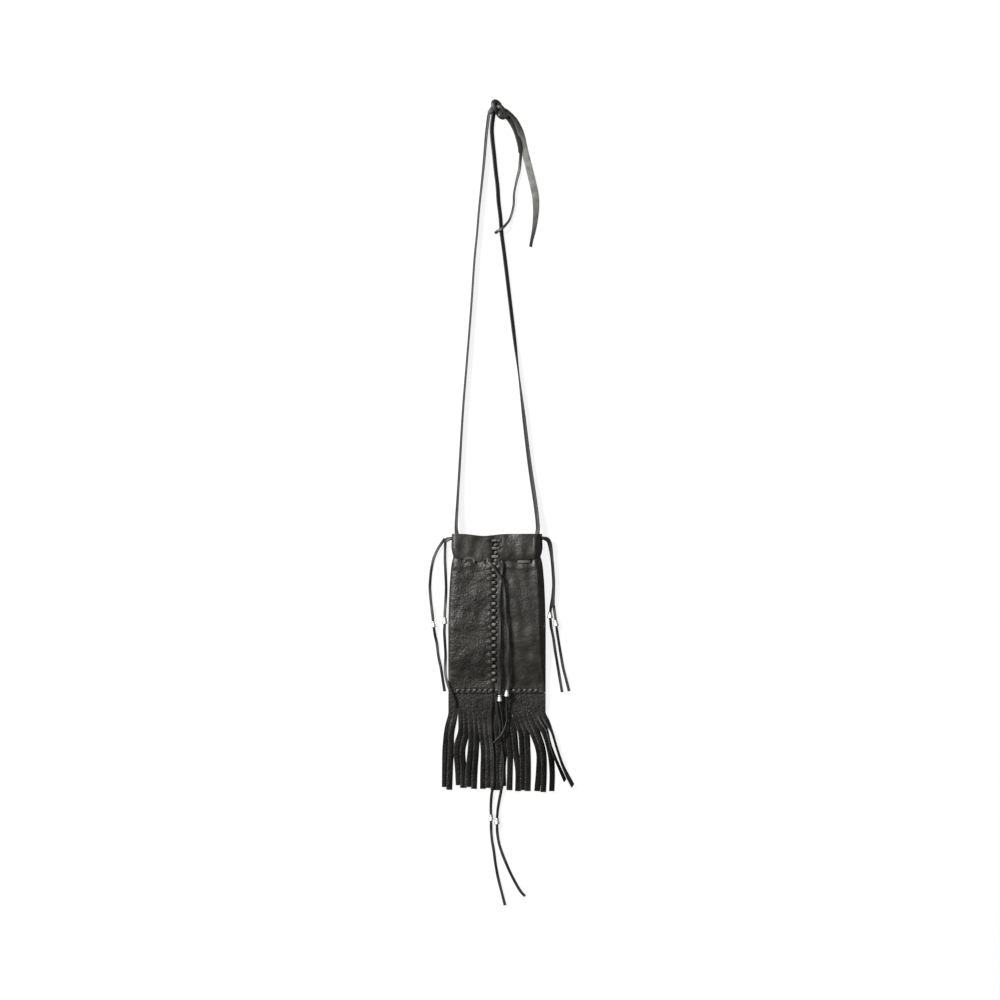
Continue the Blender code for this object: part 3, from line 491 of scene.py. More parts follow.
def fringe_grid():
    """Mid-points of the panel; each strip has its own drift, sway, twist, cup and lift."""
    random = np.random.default_rng(4)
    half, radius, middle = section(BOTTOM_Y)
    pitch = 2 * half / len(STRIPS)
    upper = spread(-9.5, 0.0, 2.0, FRINGE_BAND, step=0.8)
    share = np.linspace(0, 1, 61)[1:]
    columns = []
    for k, (length, twist, *drifts) in enumerate(STRIPS):
        across = np.linspace(-1, 1, STRIP_COLUMNS) / 2
        top_x = -half + (k + 0.5) * pitch
        twist = math.radians(twist)
        cup = random.uniform(-0.3, 0.3)
        lift = random.uniform(0.1, 0.6)
        distance = np.concatenate([upper, FRINGE_BAND + share * length])
        t = np.clip((distance - FRINGE_BAND) / length, 0, 1)
        x = top_x + quarter_curve([0.0, *drifts], t)
        neck = half - radius * (1 - ramp(distance, 0.0, 0.66))
        x = x * neck / half
        drop = ramp(distance, DROP_START, DROP_START + DROP_LENGTH)
        angle = twist * ramp(t, 0.0, 0.25) * (1 - 0.12 * ramp(t, 0.7, 1.0))
        width = (pitch - STRIP_GAP) * neck / half
        width = width + (STRIP_WIDTH - width) * ramp(t, 0.0, 0.2)
        floor = LEATHER / 2 + 0.06 + np.abs(np.sin(angle)) * width / 2
        z = middle + (floor - middle) * drop + lift * np.sin(math.pi * t) ** 2
        z = z + 0.25 * waves(x, distance, 24, 7) * (drop * (1 - t) + 0.4 * ramp(distance, 3, 12))
        lean = np.gradient(x, distance)
        bowl = cup * t[:, None] * (1 - (2 * across[None, :]) ** 2)
        strip_x = x[:, None] + across * (width * np.cos(angle))[:, None]
        strip_y = BOTTOM_Y - distance[:, None] + across * (width * lean * ramp(t, 0, 0.2))[:, None]
        strip_z = z[:, None] + across * (width * np.sin(angle))[:, None] + bowl
        columns.append(np.stack([strip_x, strip_y, strip_z], 2))
    points = np.concatenate(columns, 1)
    points[:, :, 2] = np.maximum(points[:, :, 2], LEATHER / 2 + 0.05)
    omit = np.zeros((points.shape[0] - 1, points.shape[1] - 1), bool)
    omit[len(upper) - 1:, STRIP_COLUMNS - 1::STRIP_COLUMNS] = True
    middle_of = (points[:-1, :-1] + points[1:, 1:]) / 2
    omit |= stitch_holes(middle_of[:, :, 0], middle_of[:, :, 1])
    return points, omit


# Painted shade: the fringe's copy of the pouch leather is a little darker, and darker still on the
# strips below the band, for their slope away from the light and the shade between them.
fringe_leather_painted_shade = pebbled_leather("fringe leather with painted shade", "#161513", "#2c2a26", "#45433e", 1.6, 0.5, 0.3)
darken(fringe_leather_painted_shade, BOTTOM_Y - FRINGE_BAND - 16, BOTTOM_Y - FRINGE_BAND + 12, 0.55)
grid, cuts = fringe_grid()
fringe = slab("fringe_strips", grid, LEATHER, cuts, fringe_leather_painted_shade, 0.25)
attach(fringe, "root")
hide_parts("fringe")

# Seam lace: one flat lace whips the seam shut. Each stitch goes straight over
# the seam and slants back under it to the next hole.

LACE_WIDTH = 3.2
LACE_THICKNESS = 1.2
LACE_SIDES = 14


def walk(points):
    """How far along the points each of them lies."""
    steps = np.linalg.norm(np.diff(points[:, :3], axis=0), axis=1)
    return np.concatenate([[0], np.cumsum(steps)])


def smooth(route, step, pieces=16):
    """Evenly spaced points on a Catmull-Rom curve through the route's own points."""
    points = np.asarray(route, float)
    points = np.vstack([2 * points[0] - points[1], points, 2 * points[-1] - points[-2]])
    t = (np.arange(pieces) / pieces)[None, :, None]
    a, b, c, d = (points[k:len(points) - 3 + k, None, :] for k in range(4))
    fine = np.vstack([catmull(a, b, c, d, t).reshape(-1, points.shape[1]), points[-2]])
    walked = walk(fine)
    even = np.linspace(0, walked[-1], max(2, round(walked[-1] / step)) + 1)
    return np.stack([np.interp(even, walked, column) for column in fine.T], 1)


def ribbon(name, points, width, thickness, material, roll=0.0, flat=None, squareness=3.2):
    """A lace along the points, its section a rounded flat strip turned by roll radians.

    flat is the direction of its width before the roll, level and square to the
    path where it isn't given. The UV map runs along and round the lace in mm.
    """
    tangent = np.gradient(points[:, :3], axis=0)
    tangent /= np.linalg.norm(tangent, axis=1, keepdims=True)
    side = np.cross(tangent, (0, 0, 1)) if flat is None else np.broadcast_to(flat, tangent.shape)
    side = side - (side * tangent).sum(1, keepdims=True) * tangent
    side /= np.linalg.norm(side, axis=1, keepdims=True)
    normal = np.cross(side, tangent)
    turn = np.broadcast_to(roll, len(points))[:, None]
    side, normal = (side * np.cos(turn) + normal * np.sin(turn),
                    normal * np.cos(turn) - side * np.sin(turn))
    angle = 2 * math.pi * (np.arange(LACE_SIDES) + 0.5) / LACE_SIDES
    power = 2 / squareness
    wide, thick = rounded(np.cos(angle), power), rounded(np.sin(angle), power)
    w = np.broadcast_to(width, len(points))[:, None, None] / 2
    h = np.broadcast_to(thickness, len(points))[:, None, None] / 2
    rings = (points[:, None, :3] + side[:, None] * wide[:, None] * w
             + normal[:, None] * thick[:, None] * h)
    count = len(points)
    index = np.arange(count * LACE_SIDES).reshape(count, LACE_SIDES)
    after = np.roll(index, -1, 1)
    sides = np.stack([index[:-1], after[:-1], after[1:], index[1:]], 2).reshape(-1, 4)
    mesh = bpy.data.meshes.new(name)
    mesh.from_pydata((rings.reshape(-1, 3) * MM).tolist(), [],
                     sides.tolist() + [index[0, ::-1].tolist(), index[-1].tolist()])
    around = np.arange(LACE_SIDES + 1) * (4.0 / LACE_SIDES)
    u = np.repeat(walk(points), LACE_SIDES)[np.concatenate([sides.ravel(), index[0, ::-1], index[-1]])]
    v = np.tile(np.stack([around[:-1], around[1:], around[1:], around[:-1]], 1).ravel(), count - 1)
    v = np.concatenate([v, around[:-1][::-1], around[:-1]])
    layer = mesh.uv_layers.new(name="lace")
    layer.data.foreach_set("uv", np.stack([u * 0.1, v], 1).astype(np.float32).ravel())
    return add_object(name, mesh, material)


def lace_leather(name, low, high, roughness, fibre):
    """Cut lace: streaks along its length, fine pores and a slightly uneven tone."""
    material, tree, shader = new_material(name, roughness=roughness)
    place = node(tree, "TexCoord", "Object", {})
    along = node(tree, "TexCoord", "UV", {})
    stretched = node(tree, "Mapping", "Vector", {"Vector": along, "Scale": (2.0, 9.0, 1.0)})
    streaks = node(tree, "TexNoise", "Fac", {"Vector": stretched, "Scale": 3.0, "Detail": 4.0})
    pores = node(tree, "TexNoise", "Fac", {"Vector": place, "Scale": 1000 / 0.7, "Detail": 3.0})
    patches = node(tree, "TexNoise", "Fac", {"Vector": place, "Scale": 1000 / 9.0, "Detail": 3.0})
    both = node(tree, "Mix", 0, {"Factor": fibre, 2: patches, 3: streaks})
    tone = node(tree, "MapRange", "Result", {"Value": both, "From Min": 0.38, "From Max": 0.66})
    colour = node(tree, "Mix", 2, {"Factor": tone, 6: linear(low), 7: linear(high)},
                  data_type="RGBA")
    tree.links.new(colour, shader.inputs["Base Color"])
    bump = node(tree, "Bump", "Normal", {"Height": streaks, "Strength": 0.5, "Distance": 0.0003})
    bump = node(tree, "Bump", "Normal", {"Height": pores, "Strength": 0.4, "Distance": 0.00015,
                                         "Normal": bump})
    tree.links.new(bump, shader.inputs["Normal"])
    return material


def seam_lace_route():
    """Whip stitches through the seam's holes, arched over the seam and slack under it."""
    route = []
    for k in range(SEAM_STITCHES):
        y = MOUTH_Y - SEAM_START - k * SEAM_PITCH
        half, radius, middle = section(y)
        left, right = seam_edges(np.float64(y))
        left, right = left - HOLE_INSET, right + HOLE_INSET
        skin = middle + radius - LEATHER / 2 - 0.3
        drop = SEAM_TUCK * ramp(y, DRAWSTRING_Y - 4, DRAWSTRING_Y + 4)
        over = LEATHER / 2 + LACE_THICKNESS / 2 + 0.35
        slant = 0.16 * SEAM_PITCH
        mid = (left + right) / 2
        route += [(left + 0.7, y + slant, skin - over - drop), (left, y, skin - 0.3 - drop),
                  (left + 0.7, y, skin + over - 0.7 - drop), (mid, y, skin + over + 0.5 - drop),
                  (mid + 1.0, y, skin + over + 0.4 - drop), (right - 0.5, y, skin + over - 0.6),
                  (right, y, skin - 0.3), (right - 0.7, y - slant, skin - over)]
    return route


# Painted highlight: this copy of the lace leather is lighter than the tails' leather, though the seam
# lace and drawstring are the same laces as their tails, so the stitches come out bright.
lace_leather_painted_light = lace_leather("black lace leather with painted light", "#201f1d", "#5a5852", 0.46, 0.4)
# Painted shade: the lace is darkened upwards from just under the drawstring, so the stitches in the
# seam's open gap above the neck come out dim.
darken(lace_leather_painted_light, MOUTH_Y - 8, DRAWSTRING_Y - 2, 0.15)
points = smooth(seam_lace_route(), 0.55)
points[:, 1] = hang(points[:, 0], points[:, 1])
seam_lace = ribbon("seam_lace", points, LACE_WIDTH, LACE_THICKNESS, lace_leather_painted_light,
                   flat=(0, 1, 0))
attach(seam_lace, "root")
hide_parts("front_seam_lace")

# Bottom stitching: a thin lace in running stitch through back, fringe and front.

STITCH_WIDTH = 2.4
STITCH_THICKNESS = 1.0


def stitch_route():
    """Down and up through the stack, each stitch a small arch on the front and on the back."""
    half, radius, middle = section(STITCH_Y)
    reach = radius + STITCH_THICKNESS / 2 + 0.12
    leg = STITCH_PITCH / 4
    route = [(-(STITCHES / 2) * STITCH_PITCH + 1.0, STITCH_Y, middle - reach)]
    for k in range(STITCHES):
        x = (k - (STITCHES - 1) / 2) * STITCH_PITCH
        route += [(x - leg, STITCH_Y, middle - reach + 0.4), (x - leg, STITCH_Y, middle),
                  (x - leg + 0.2, STITCH_Y, middle + reach - 0.15), (x, STITCH_Y, middle + reach + 0.2),
                  (x + leg - 0.2, STITCH_Y, middle + reach - 0.15), (x + leg, STITCH_Y, middle),
                  (x + leg, STITCH_Y, middle - reach + 0.4)]
    return route + [((STITCHES / 2) * STITCH_PITCH - 1.0, STITCH_Y, middle - reach)]


stitching = ribbon("bottom_stitching", smooth(stitch_route(), 0.5), STITCH_WIDTH, STITCH_THICKNESS,
                   lace_leather_painted_light, flat=(0, 1, 0))
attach(stitching, "root")
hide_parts("bottom_seam_lace")

# Drawstring: a flat lace threaded through slits round the neck. Pulled tight,
# it lies in a groove, and its left span on the front bows upwards.

SPAN_BOW = 3.0


def drawstring_route():
    """In and out of the neck, from the left exit round the back to the right exit."""
    half, radius, middle = (float(v) for v in section(DRAWSTRING_Y))
    fold = half - radius
    skin = radius - LEATHER / 2
    reach = LEATHER / 2 + LACE_THICKNESS / 2 + 0.2
    z = middle + skin + reach - NECK_GROOVE
    route = [(-9.5, DRAWSTRING_Y, z)]

    def cross(slits, direction, face):
        for x, outside in slits:
            for step in (-1, 1):
                level = skin - NECK_GROOVE * (face > 0) - step * outside * reach
                route.append((x + direction * step * 1.3, DRAWSTRING_Y, middle + face * level))

    def turn(side, angles):
        for angle in angles:
            route.append((side * (fold - 0.8 + (skin - reach) * math.cos(math.radians(angle))),
                          DRAWSTRING_Y, middle + (skin - reach) * math.sin(math.radians(angle))))

    cross(((-12.0, 1), (-23.0, -1)), -1, 1)
    route += [(-26.0, DRAWSTRING_Y + SPAN_BOW, z), (-30.0, DRAWSTRING_Y + SPAN_BOW + 0.6, z + 0.1),
              (-34.2, DRAWSTRING_Y + SPAN_BOW, z)]
    cross(((-37.0, 1),), -1, 1)
    turn(-1, (72, 36, 0, -36, -72))
    cross(((-37.0, -1), (-23.0, 1), (-9.0, -1), (9.0, 1), (23.0, -1), (37.0, 1)), 1, -1)
    turn(1, (-72, -36, 0, 36, 72))
    cross(((37.0, -1), (23.0, 1), (7.0, -1)), -1, 1)
    route.append((4.5, DRAWSTRING_Y, z))
    return route


points = smooth(drawstring_route(), 0.8)
points[:, 1] = hang(points[:, 0], points[:, 1])
drawstring = ribbon("drawstring_lace", points, LACE_WIDTH, LACE_THICKNESS, lace_leather_painted_light,
                    flat=(0, 1, 0))
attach(drawstring, "root")
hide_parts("drawstring")

# Strap: a flat thong runs up from each side to the knot. The left one lies
# rolled nearly on its edge, and the right one turns slowly as it rises.

STRAP_WIDTH = 5.8
STRAP_THICKNESS = 1.9
STRAP_LEFT = (
    (-9.0, 547.5, 2.2), (-10.8, 534.0, 2.2), (-12.1, 522.5, 2.2), (-14.3, 496.1, 2.2),
    (-17.0, 469.7, 2.2), (-19.8, 443.3, 2.2), (-22.0, 416.9, 2.2), (-24.8, 388.3, 2.2),
    (-28.6, 333.3, 2.2), (-33.0, 278.3, 2.2), (-37.4, 223.3, 2.2), (-40.7, 168.3, 2.4),
    (-43.6, 120.0, 4.4), (-44.8, 96.0, 7.4), (-44.3, 88.0, 8.1), (-45.0, 84.0, 8.1),
    (-47.6, 82.3, 8.1), (-51.5, 82.0, 7.9), (-55.4, 80.4, 6.2),
)
STRAP_RIGHT = (
    (-4.1, 546.5, 2.2), (-5.6, 534.0, 2.2), (-5.2, 522.5, 2.2), (-3.3, 504.9, 2.2),
    (-1.6, 487.3, 2.2), (0.5, 469.7, 2.2), (1.7, 452.1, 2.2), (3.8, 434.5, 2.2),
    (5.1, 416.9, 2.2), (8.8, 388.3, 2.2), (15.4, 333.3, 2.2), (22.0, 278.3, 2.2),
    (28.6, 223.3, 2.2), (35.2, 168.3, 2.4), (42.2, 120.0, 4.4), (44.8, 96.0, 7.4),
    (44.3, 88.0, 8.1), (45.0, 84.0, 8.1), (47.6, 82.3, 8.1), (52.0, 82.3, 7.9),
    (56.6, 79.6, 6.0), (58.9, 71.5, 3.6), (60.5, 58.3, 2.3), (61.6, 45.1, 2.2),
    (62.3, 31.9, 2.2), (61.6, 18.7, 2.2), (60.8, 8.5, 2.2),
)


def lay_down(points, width, thickness, roll):
    """Raise a rolled lace where it would dip below the table."""
    lowest = (np.abs(np.sin(roll)) * width + np.abs(np.cos(roll)) * thickness) / 2 + 0.05
    points = points.copy()
    points[:, 2] = np.maximum(points[:, 2], lowest)
    return points


def free_lace(name, points, width, thickness, material, roll, replaced):
    """A lace that lies free: its ribbon, raised off the table where it would dip below it, in place of
    the replaced CAD part.
    """
    roll = np.broadcast_to(roll, len(points))
    points = lay_down(points, width, thickness, roll)
    obj = ribbon(name, points, width, thickness, material, roll)
    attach(obj, "root")
    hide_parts(replaced)


def strap_shape(points, rolls):
    """Roll, width and thickness along a strap: rolls is (Y, degrees), bunched at the eyelet."""
    heights, degrees = zip(*sorted(rolls))
    roll = np.radians(np.interp(points[:, 1], heights, degrees))
    through = hump(points[:, 1], EYELET_Y, 5.0) * (np.abs(points[:, 0]) < 53)
    roll = roll * (1 - through)
    return roll, STRAP_WIDTH - 1.9 * through, STRAP_THICKNESS + 1.0 * through


strap_leather = lace_leather("black strap leather", "#121210", "#292825", 0.5, 0.6)
left_points = smooth(((-4.2, 553.2, 3.6), (-6.8, 550.8, 3.0)) + STRAP_LEFT
                     + ((-57.4, 79.2, 5.3),), 1.6)[::-1]
rolls = ((60, 20), (96, 62), (130, 72), (300, 80), (450, 78), (540, 62))
roll, width, thickness = strap_shape(left_points, rolls)
free_lace("strap_left_lace", left_points, width, thickness, strap_leather, roll, "strap_left")
right_points = smooth(((-3.0, 551.4, 3.0),) + STRAP_RIGHT + ((60.9, 6.4, 2.2),), 1.6)
rolls = ((6, -22), (16, -52), (28, -64), (62, -64), (76, -40), (100, -48), (140, -42),
         (215, -55), (240, -74), (258, -88), (275, -101), (292, -119), (310, -130), (545, -138))
roll, width, thickness = strap_shape(right_points, rolls)
free_lace("strap_right_lace", right_points, width, thickness, strap_leather, roll, "strap_right")

# Knot and strap ends: both thongs are tied in one overhand knot. The wide end
# shows its paler flesh side, and the narrow one crosses the right strap.

KNOT_CENTRE = (1.4, 552.5)
KNOT_SCALE = 2.5
KNOT_SLANT = math.radians(-60)
KNOT_TURN = math.radians(-50)
KNOT_STEPS = 26
KNOT_STRETCH = (1.38, 0.74)  # along the slant and across it
KNOT_LACE = (5.4, 3.8)       # width and thickness of the two thongs together
STRAP_TAIL_WIDE = (
    (14.2, 548.4, 4.0), (17.6, 545.0, 3.2), (21.6, 539.4, 2.4), (26.3, 527.6, 2.2),
    (29.7, 511.5, 2.2), (33.5, 496.1, 2.2), (37.9, 478.5, 2.2), (41.8, 460.9, 2.2),
    (42.9, 447.7, 2.2), (42.3, 434.5, 2.2), (40.6, 421.3, 2.2), (38.0, 409.5, 2.2),
    (36.9, 402.6, 2.2),
)
STRAP_TAIL_NARROW = (
    (11.2, 545.2, 4.0), (14.9, 540.9, 3.0), (19.6, 532.5, 3.0), (23.5, 521.5, 2.9),
    (26.0, 510.0, 2.2), (25.8, 500.5, 1.4), (24.4, 487.3, 1.4), (22.3, 478.5, 1.4),
    (20.3, 469.7, 1.4), (18.7, 460.9, 1.4), (18.1, 447.7, 1.4), (14.6, 434.5, 1.6),
    (10.4, 427.5, 4.4), (5.5, 422.5, 6.5), (1.0, 419.6, 5.6), (-2.0, 417.6, 2.8),
)


def knot_route():
    """An overhand knot: five sixths of a trefoil pulled out along a slant, its ends led out."""
    x0, y0 = KNOT_CENTRE
    slant = np.array((math.cos(KNOT_SLANT), math.sin(KNOT_SLANT)))
    route = [(x0 + 10.4, y0 - 6.4, 4.4), (x0 + 7.8, y0 - 6.8, 5.2)]
    for k in range(KNOT_STEPS + 1):
        t = math.pi / 6 + 2 * math.pi * 5 / 6 * k / KNOT_STEPS
        radius = KNOT_SCALE * (2 + math.cos(3 * t))
        angle = 2 * t - math.pi / 2 + KNOT_TURN
        place = radius * np.array((math.cos(angle), math.sin(angle)))
        along = place @ slant * slant
        x, y = KNOT_STRETCH[0] * along + KNOT_STRETCH[1] * (place - along)
        route.append((x0 + x, y0 + y, 2.0 + 2.15 * (1 + math.sin(3 * t))))
    return route + [(x0 - 7.0, y0 + 1.2, 2.4), (x0 - 9.8, y0 - 3.4, 2.2)]


knot = ribbon("knot_lace", smooth(knot_route(), 0.5), *KNOT_LACE, strap_leather, squareness=2.4)
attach(knot, "root")
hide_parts("strap_knot")

flesh_leather = lace_leather("grey flesh side leather", "#504f4c", "#868582", 0.8, 0.45)
darken(flesh_leather, 405, 498, 0.22)
darken(flesh_leather, 548, 494, 0.12)
points = smooth(((6.8, 553.4, 4.8), (10.6, 551.4, 4.6)) + STRAP_TAIL_WIDE, 1.4)
width = 7.8 - 1.5 * ramp(points[:, 1], 520, 545) - 4.4 * (1 - ramp(points[:, 1], 398, 462))
roll = np.radians(np.interp(points[:, 1], (400, 430, 470, 520, 548), (30, 10, -8, 12, 45)))
points[:, 2] = np.minimum(points[:, 2], 1.2 + ramp(points[:, 1], 525, 546) * 3)
free_lace("strap_end_wide", points, width, 1.3, flesh_leather, roll, "strap_tail_wide")
points = smooth(((6.0, 549.4, 4.8), (8.6, 547.6, 4.6)) + STRAP_TAIL_NARROW, 1.4)
roll = np.radians(np.interp(points[:, 1], (415, 430, 470, 500, 545), (10, -50, -60, 12, 20)))
width = 3.4 + 2.8 * ramp(points[:, 1], 505, 506.8)
free_lace("strap_end_narrow", points, width, 1.5, strap_leather, roll, "strap_tail_narrow")

# Thongs and beads: the strap's lower ends are slit in two, and these thongs and
# the ends of the drawstring and of the seam lace each carry one silver bell bead.

TAIL_WIDTH = 3.2
TAIL_THICKNESS = 1.4
TAIL_LIFT = 1.4              # over the pouch
TAIL_SHIFT = 0.7             # to the right, there
CROSSING_SINK = 3.6          # the drawstring's ends cross this much lower than drawn
LEFT_TAIL_OUTER = (
    (-58.3, 80.6, 5.6), (-61.0, 76.6, 4.0), (-64.4, 71.5, 2.4), (-67.7, 64.9, 1.4),
    (-70.4, 57.3, 1.3), (-72.6, 45.1, 1.3), (-73.7, 31.9, 1.3), (-73.7, 25.3, 1.3),
    (-72.6, 12.1, 1.3), (-71.2, 0.5, 2.4), (-70.3, -8.0, 3.1), (-69.9, -12.1, 3.1),
    (-69.3, -17.0, 3.1), (-68.0, -25.0, 2.0), (-66.0, -34.1, 1.3), (-64.4, -47.3, 1.3),
    (-61.6, -60.5, 1.3), (-59.6, -73.7, 1.3), (-57.6, -86.0, 1.3),
)
LEFT_TAIL_INNER = (
    (-56.8, 77.4, 4.6), (-57.0, 71.5, 2.6), (-57.2, 58.3, 1.4), (-56.3, 38.5, 1.3),
    (-56.0, 25.3, 1.3), (-56.6, 12.1, 1.6), (-57.2, 3.0, 2.8), (-57.4, -3.5, 3.1),
    (-57.4, -8.3, 3.1), (-57.6, -13.5, 3.1), (-57.9, -21.0, 2.2), (-57.4, -30.7, 1.4),
    (-56.6, -45.0, 1.6), (-56.8, -55.0, 2.2), (-56.8, -64.0, 4.0), (-55.6, -72.0, 6.6),
    (-53.6, -79.0, 8.2), (-51.7, -84.0, 8.6), (-49.0, -90.0, 8.0), (-46.4, -96.0, 6.6),
    (-45.1, -102.3, 6.0),
)
RIGHT_TAIL_INNER = (
    (59.4, 7.9, 2.2), (58.8, 3.0, 2.8), (58.5, -1.0, 3.1), (58.5, -4.8, 3.1),
    (58.9, -9.0, 2.8), (59.6, -15.5, 1.6), (62.0, -27.5, 1.3), (63.8, -40.7, 1.3),
    (66.0, -53.9, 1.3), (68.2, -67.1, 1.3), (70.4, -80.3, 1.3), (71.5, -86.9, 1.3),
)
RIGHT_TAIL_OUTER = (
    (62.3, 7.9, 2.2), (63.0, 3.0, 2.2), (63.7, -2.0, 2.8), (64.5, -8.0, 3.1),
    (64.9, -11.6, 3.1), (65.4, -15.5, 3.1), (66.3, -22.0, 1.9), (68.2, -34.1, 1.3),
    (70.4, -47.3, 1.3), (72.8, -60.5, 1.3), (76.2, -73.7, 1.3), (79.2, -85.8, 1.3),
)
DRAWSTRING_TAIL_RIGHT = (
    (-8.8, 58.6, 17.2), (-6.0, 56.6, 18.8), (-3.0, 53.6, 19.0), (0.0, 49.6, 19.8),
    (3.2, 44.4, 21.0), (5.6, 38.5, 19.6), (6.9, 30.0, 17.2), (7.7, 20.0, 16.9),
    (9.2, 6.0, 17.2), (10.3, -8.0, 17.2), (11.2, -22.0, 17.0), (11.9, -36.0, 16.0),
    (12.3, -50.0, 14.2), (12.4, -62.0, 11.8), (12.2, -72.0, 10.2), (11.7, -80.0, 10.2),
    (11.0, -86.0, 10.6), (10.8, -90.5, 10.4), (10.9, -96.0, 9.0), (11.1, -106.0, 6.8),
    (11.0, -118.0, 6.0), (8.6, -127.0, 7.2), (4.4, -134.4, 8.4), (-0.4, -139.4, 7.8),
    (-3.6, -143.0, 7.0),
)
DRAWSTRING_TAIL_LEFT = (
    (6.4, 58.2, 17.6), (6.0, 54.0, 17.2), (5.0, 49.0, 17.0), (3.9, 43.0, 16.9),
    (2.9, 34.0, 17.0), (2.5, 22.0, 17.0), (2.4, 6.0, 17.2), (2.4, -10.0, 17.2),
    (2.4, -26.0, 16.8), (2.5, -42.0, 15.2), (2.6, -56.0, 12.8), (2.7, -68.0, 10.2),
    (2.8, -78.0, 9.2), (2.9, -86.5, 9.2), (3.0, -93.5, 8.6), (3.6, -100.0, 7.6),
    (5.4, -110.0, 5.8), (7.0, -122.0, 4.6), (7.7, -132.0, 4.2), (8.1, -141.0, 4.0),
)
SEAM_TAIL_LEFT = (
    (-4.6, -90.0, 6.6), (-5.2, -98.0, 6.2), (-6.2, -110.0, 5.0), (-6.4, -124.0, 4.0),
    (-5.4, -136.0, 3.9), (-4.2, -147.5, 3.9), (-3.4, -160.0, 3.9), (-3.5, -175.0, 3.9),
    (-4.4, -190.0, 3.8), (-6.0, -200.0, 2.6), (-6.8, -212.0, 1.8), (-6.6, -222.0, 3.1),
    (-6.5, -225.5, 3.1), (-6.5, -230.5, 3.0), (-6.4, -239.0, 1.5), (-5.5, -249.7, 1.3),
    (-3.6, -261.0, 1.3), (-1.6, -276.0, 1.3), (1.2, -291.0, 1.3), (5.2, -307.0, 1.3),
    (8.8, -321.2, 1.3),
)
SEAM_TAIL_RIGHT = (
    (-1.5, -90.0, 6.6), (-0.6, -99.0, 6.2), (0.9, -110.0, 5.0), (3.2, -122.0, 4.0),
    (4.2, -134.0, 3.9), (5.6, -147.5, 3.9), (7.2, -160.0, 3.9), (7.4, -175.0, 3.9),
    (5.6, -190.0, 3.8), (3.0, -203.0, 2.4), (1.0, -214.5, 2.0), (0.2, -223.0, 3.1),
    (0.0, -229.0, 3.1), (0.1, -235.0, 2.8), (0.4, -242.0, 1.5), (2.2, -253.0, 1.3),
    (6.0, -265.0, 1.3), (13.0, -282.0, 1.3), (20.0, -296.0, 1.3), (26.0, -306.0, 1.3),
    (30.8, -311.3, 1.3),
)
BEADED_TAILS = (
    ("left_tail_outer", "left_bead_outer", LEFT_TAIL_OUTER, -12.1),
    ("left_tail_inner", "left_bead_inner", LEFT_TAIL_INNER, -8.3),
    ("right_tail_inner", "right_bead_inner", RIGHT_TAIL_INNER, -2.8),
    ("right_tail_outer", "right_bead_outer", RIGHT_TAIL_OUTER, -11.6),
    ("drawstring_tail_left", "drawstring_bead_left", DRAWSTRING_TAIL_LEFT, -93.5),
    ("drawstring_tail_right", "drawstring_bead_right", DRAWSTRING_TAIL_RIGHT, -88.0),
    ("seam_tail_left", "seam_bead_left", SEAM_TAIL_LEFT, -225.0),
    ("seam_tail_right", "seam_bead_right", SEAM_TAIL_RIGHT, -229.0),
)
BEAD_SIDES = 48
# Radius and height of the bead's outline, from its top bore round to its bottom bore.
BEAD_PROFILE = (
    (1.62, -3.3), (1.75, -3.42), (2.0, -3.42), (2.22, -3.3), (2.3, -3.0), (2.22, -2.7),
    (2.12, -2.3), (2.2, -1.4), (2.38, -0.4), (2.6, 0.5), (2.78, 1.3), (2.95, 2.0), (3.02, 2.45),
    (2.98, 2.8), (2.8, 3.05), (2.5, 3.2), (2.2, 3.2), (1.85, 3.05), (1.68, 2.8), (1.62, 2.4),
)


def tail_shape(route, bead_y, seed):
    """Points, roll, width and thickness of a tail, bunched where its bead grips it.

    The tails at the centre hang with the neck and turn over the fringe.
    """
    random = np.random.default_rng(seed)
    first, second = np.array(route[:2])
    start = first - 1.6 * (second - first) / np.linalg.norm(second - first)
    points = smooth((tuple(start),) + route, 1.1)
    near = hump(points[:, 1], bead_y, 5.0)
    roll = 0.5 * np.sin(2 * math.pi * np.arange(len(points)) / random.uniform(45, 70)
                        + random.uniform(0, 6))
    centre = np.abs(points[:, 0]) < 16
    roll = roll + 0.8 * centre * ramp(-points[:, 1], 98, 112) * (1 - ramp(-points[:, 1], 190, 206))
    on_pouch = ramp(points[:, 1], BOTTOM_Y, BOTTOM_Y + 20) * (1 - ramp(points[:, 1], 36, 50))
    points[:, 2] += TAIL_LIFT * centre * on_pouch
    points[:, 0] += TAIL_SHIFT * centre * on_pouch
    sunk = points[:, 1] - hang(centre * points[:, 0], points[:, 1])
    points[:, 1] -= centre * (sunk + CROSSING_SINK * hump(points[:, 1], 44, 10))
    return points, roll * (1 - near), TAIL_WIDTH - 0.7 * near, TAIL_THICKNESS + 0.5 * near


def bead(name, points, y, material):
    """A turned bell bead on a lace, its wide end towards the lace's end."""
    index = int(np.argmin(np.abs(points[:, 1] - y)))
    along = points[index + 2] - points[index - 2]
    frame_z = along / np.linalg.norm(along)
    frame_x = np.cross((0, 0, 1), frame_z)
    frame_x /= np.linalg.norm(frame_x)
    frame_y = np.cross(frame_z, frame_x)
    profile = np.array(BEAD_PROFILE)
    angle = 2 * math.pi * np.arange(BEAD_SIDES)[:, None] / BEAD_SIDES
    local = np.stack([profile[:, 0] * np.cos(angle), profile[:, 0] * np.sin(angle),
                      profile[:, 1] + 0 * angle], 2)
    rings = points[index] + local @ np.stack([frame_x, frame_y, frame_z])
    order = np.arange(BEAD_SIDES * len(profile)).reshape(BEAD_SIDES, -1)
    other = np.roll(order, -1, 0)
    faces = np.stack([order, other, np.roll(other, -1, 1), np.roll(order, -1, 1)], 2)
    mesh = bpy.data.meshes.new(name)
    mesh.from_pydata((rings.reshape(-1, 3) * MM).tolist(), [], faces.reshape(-1, 4).tolist())
    return add_object(name, mesh, material)


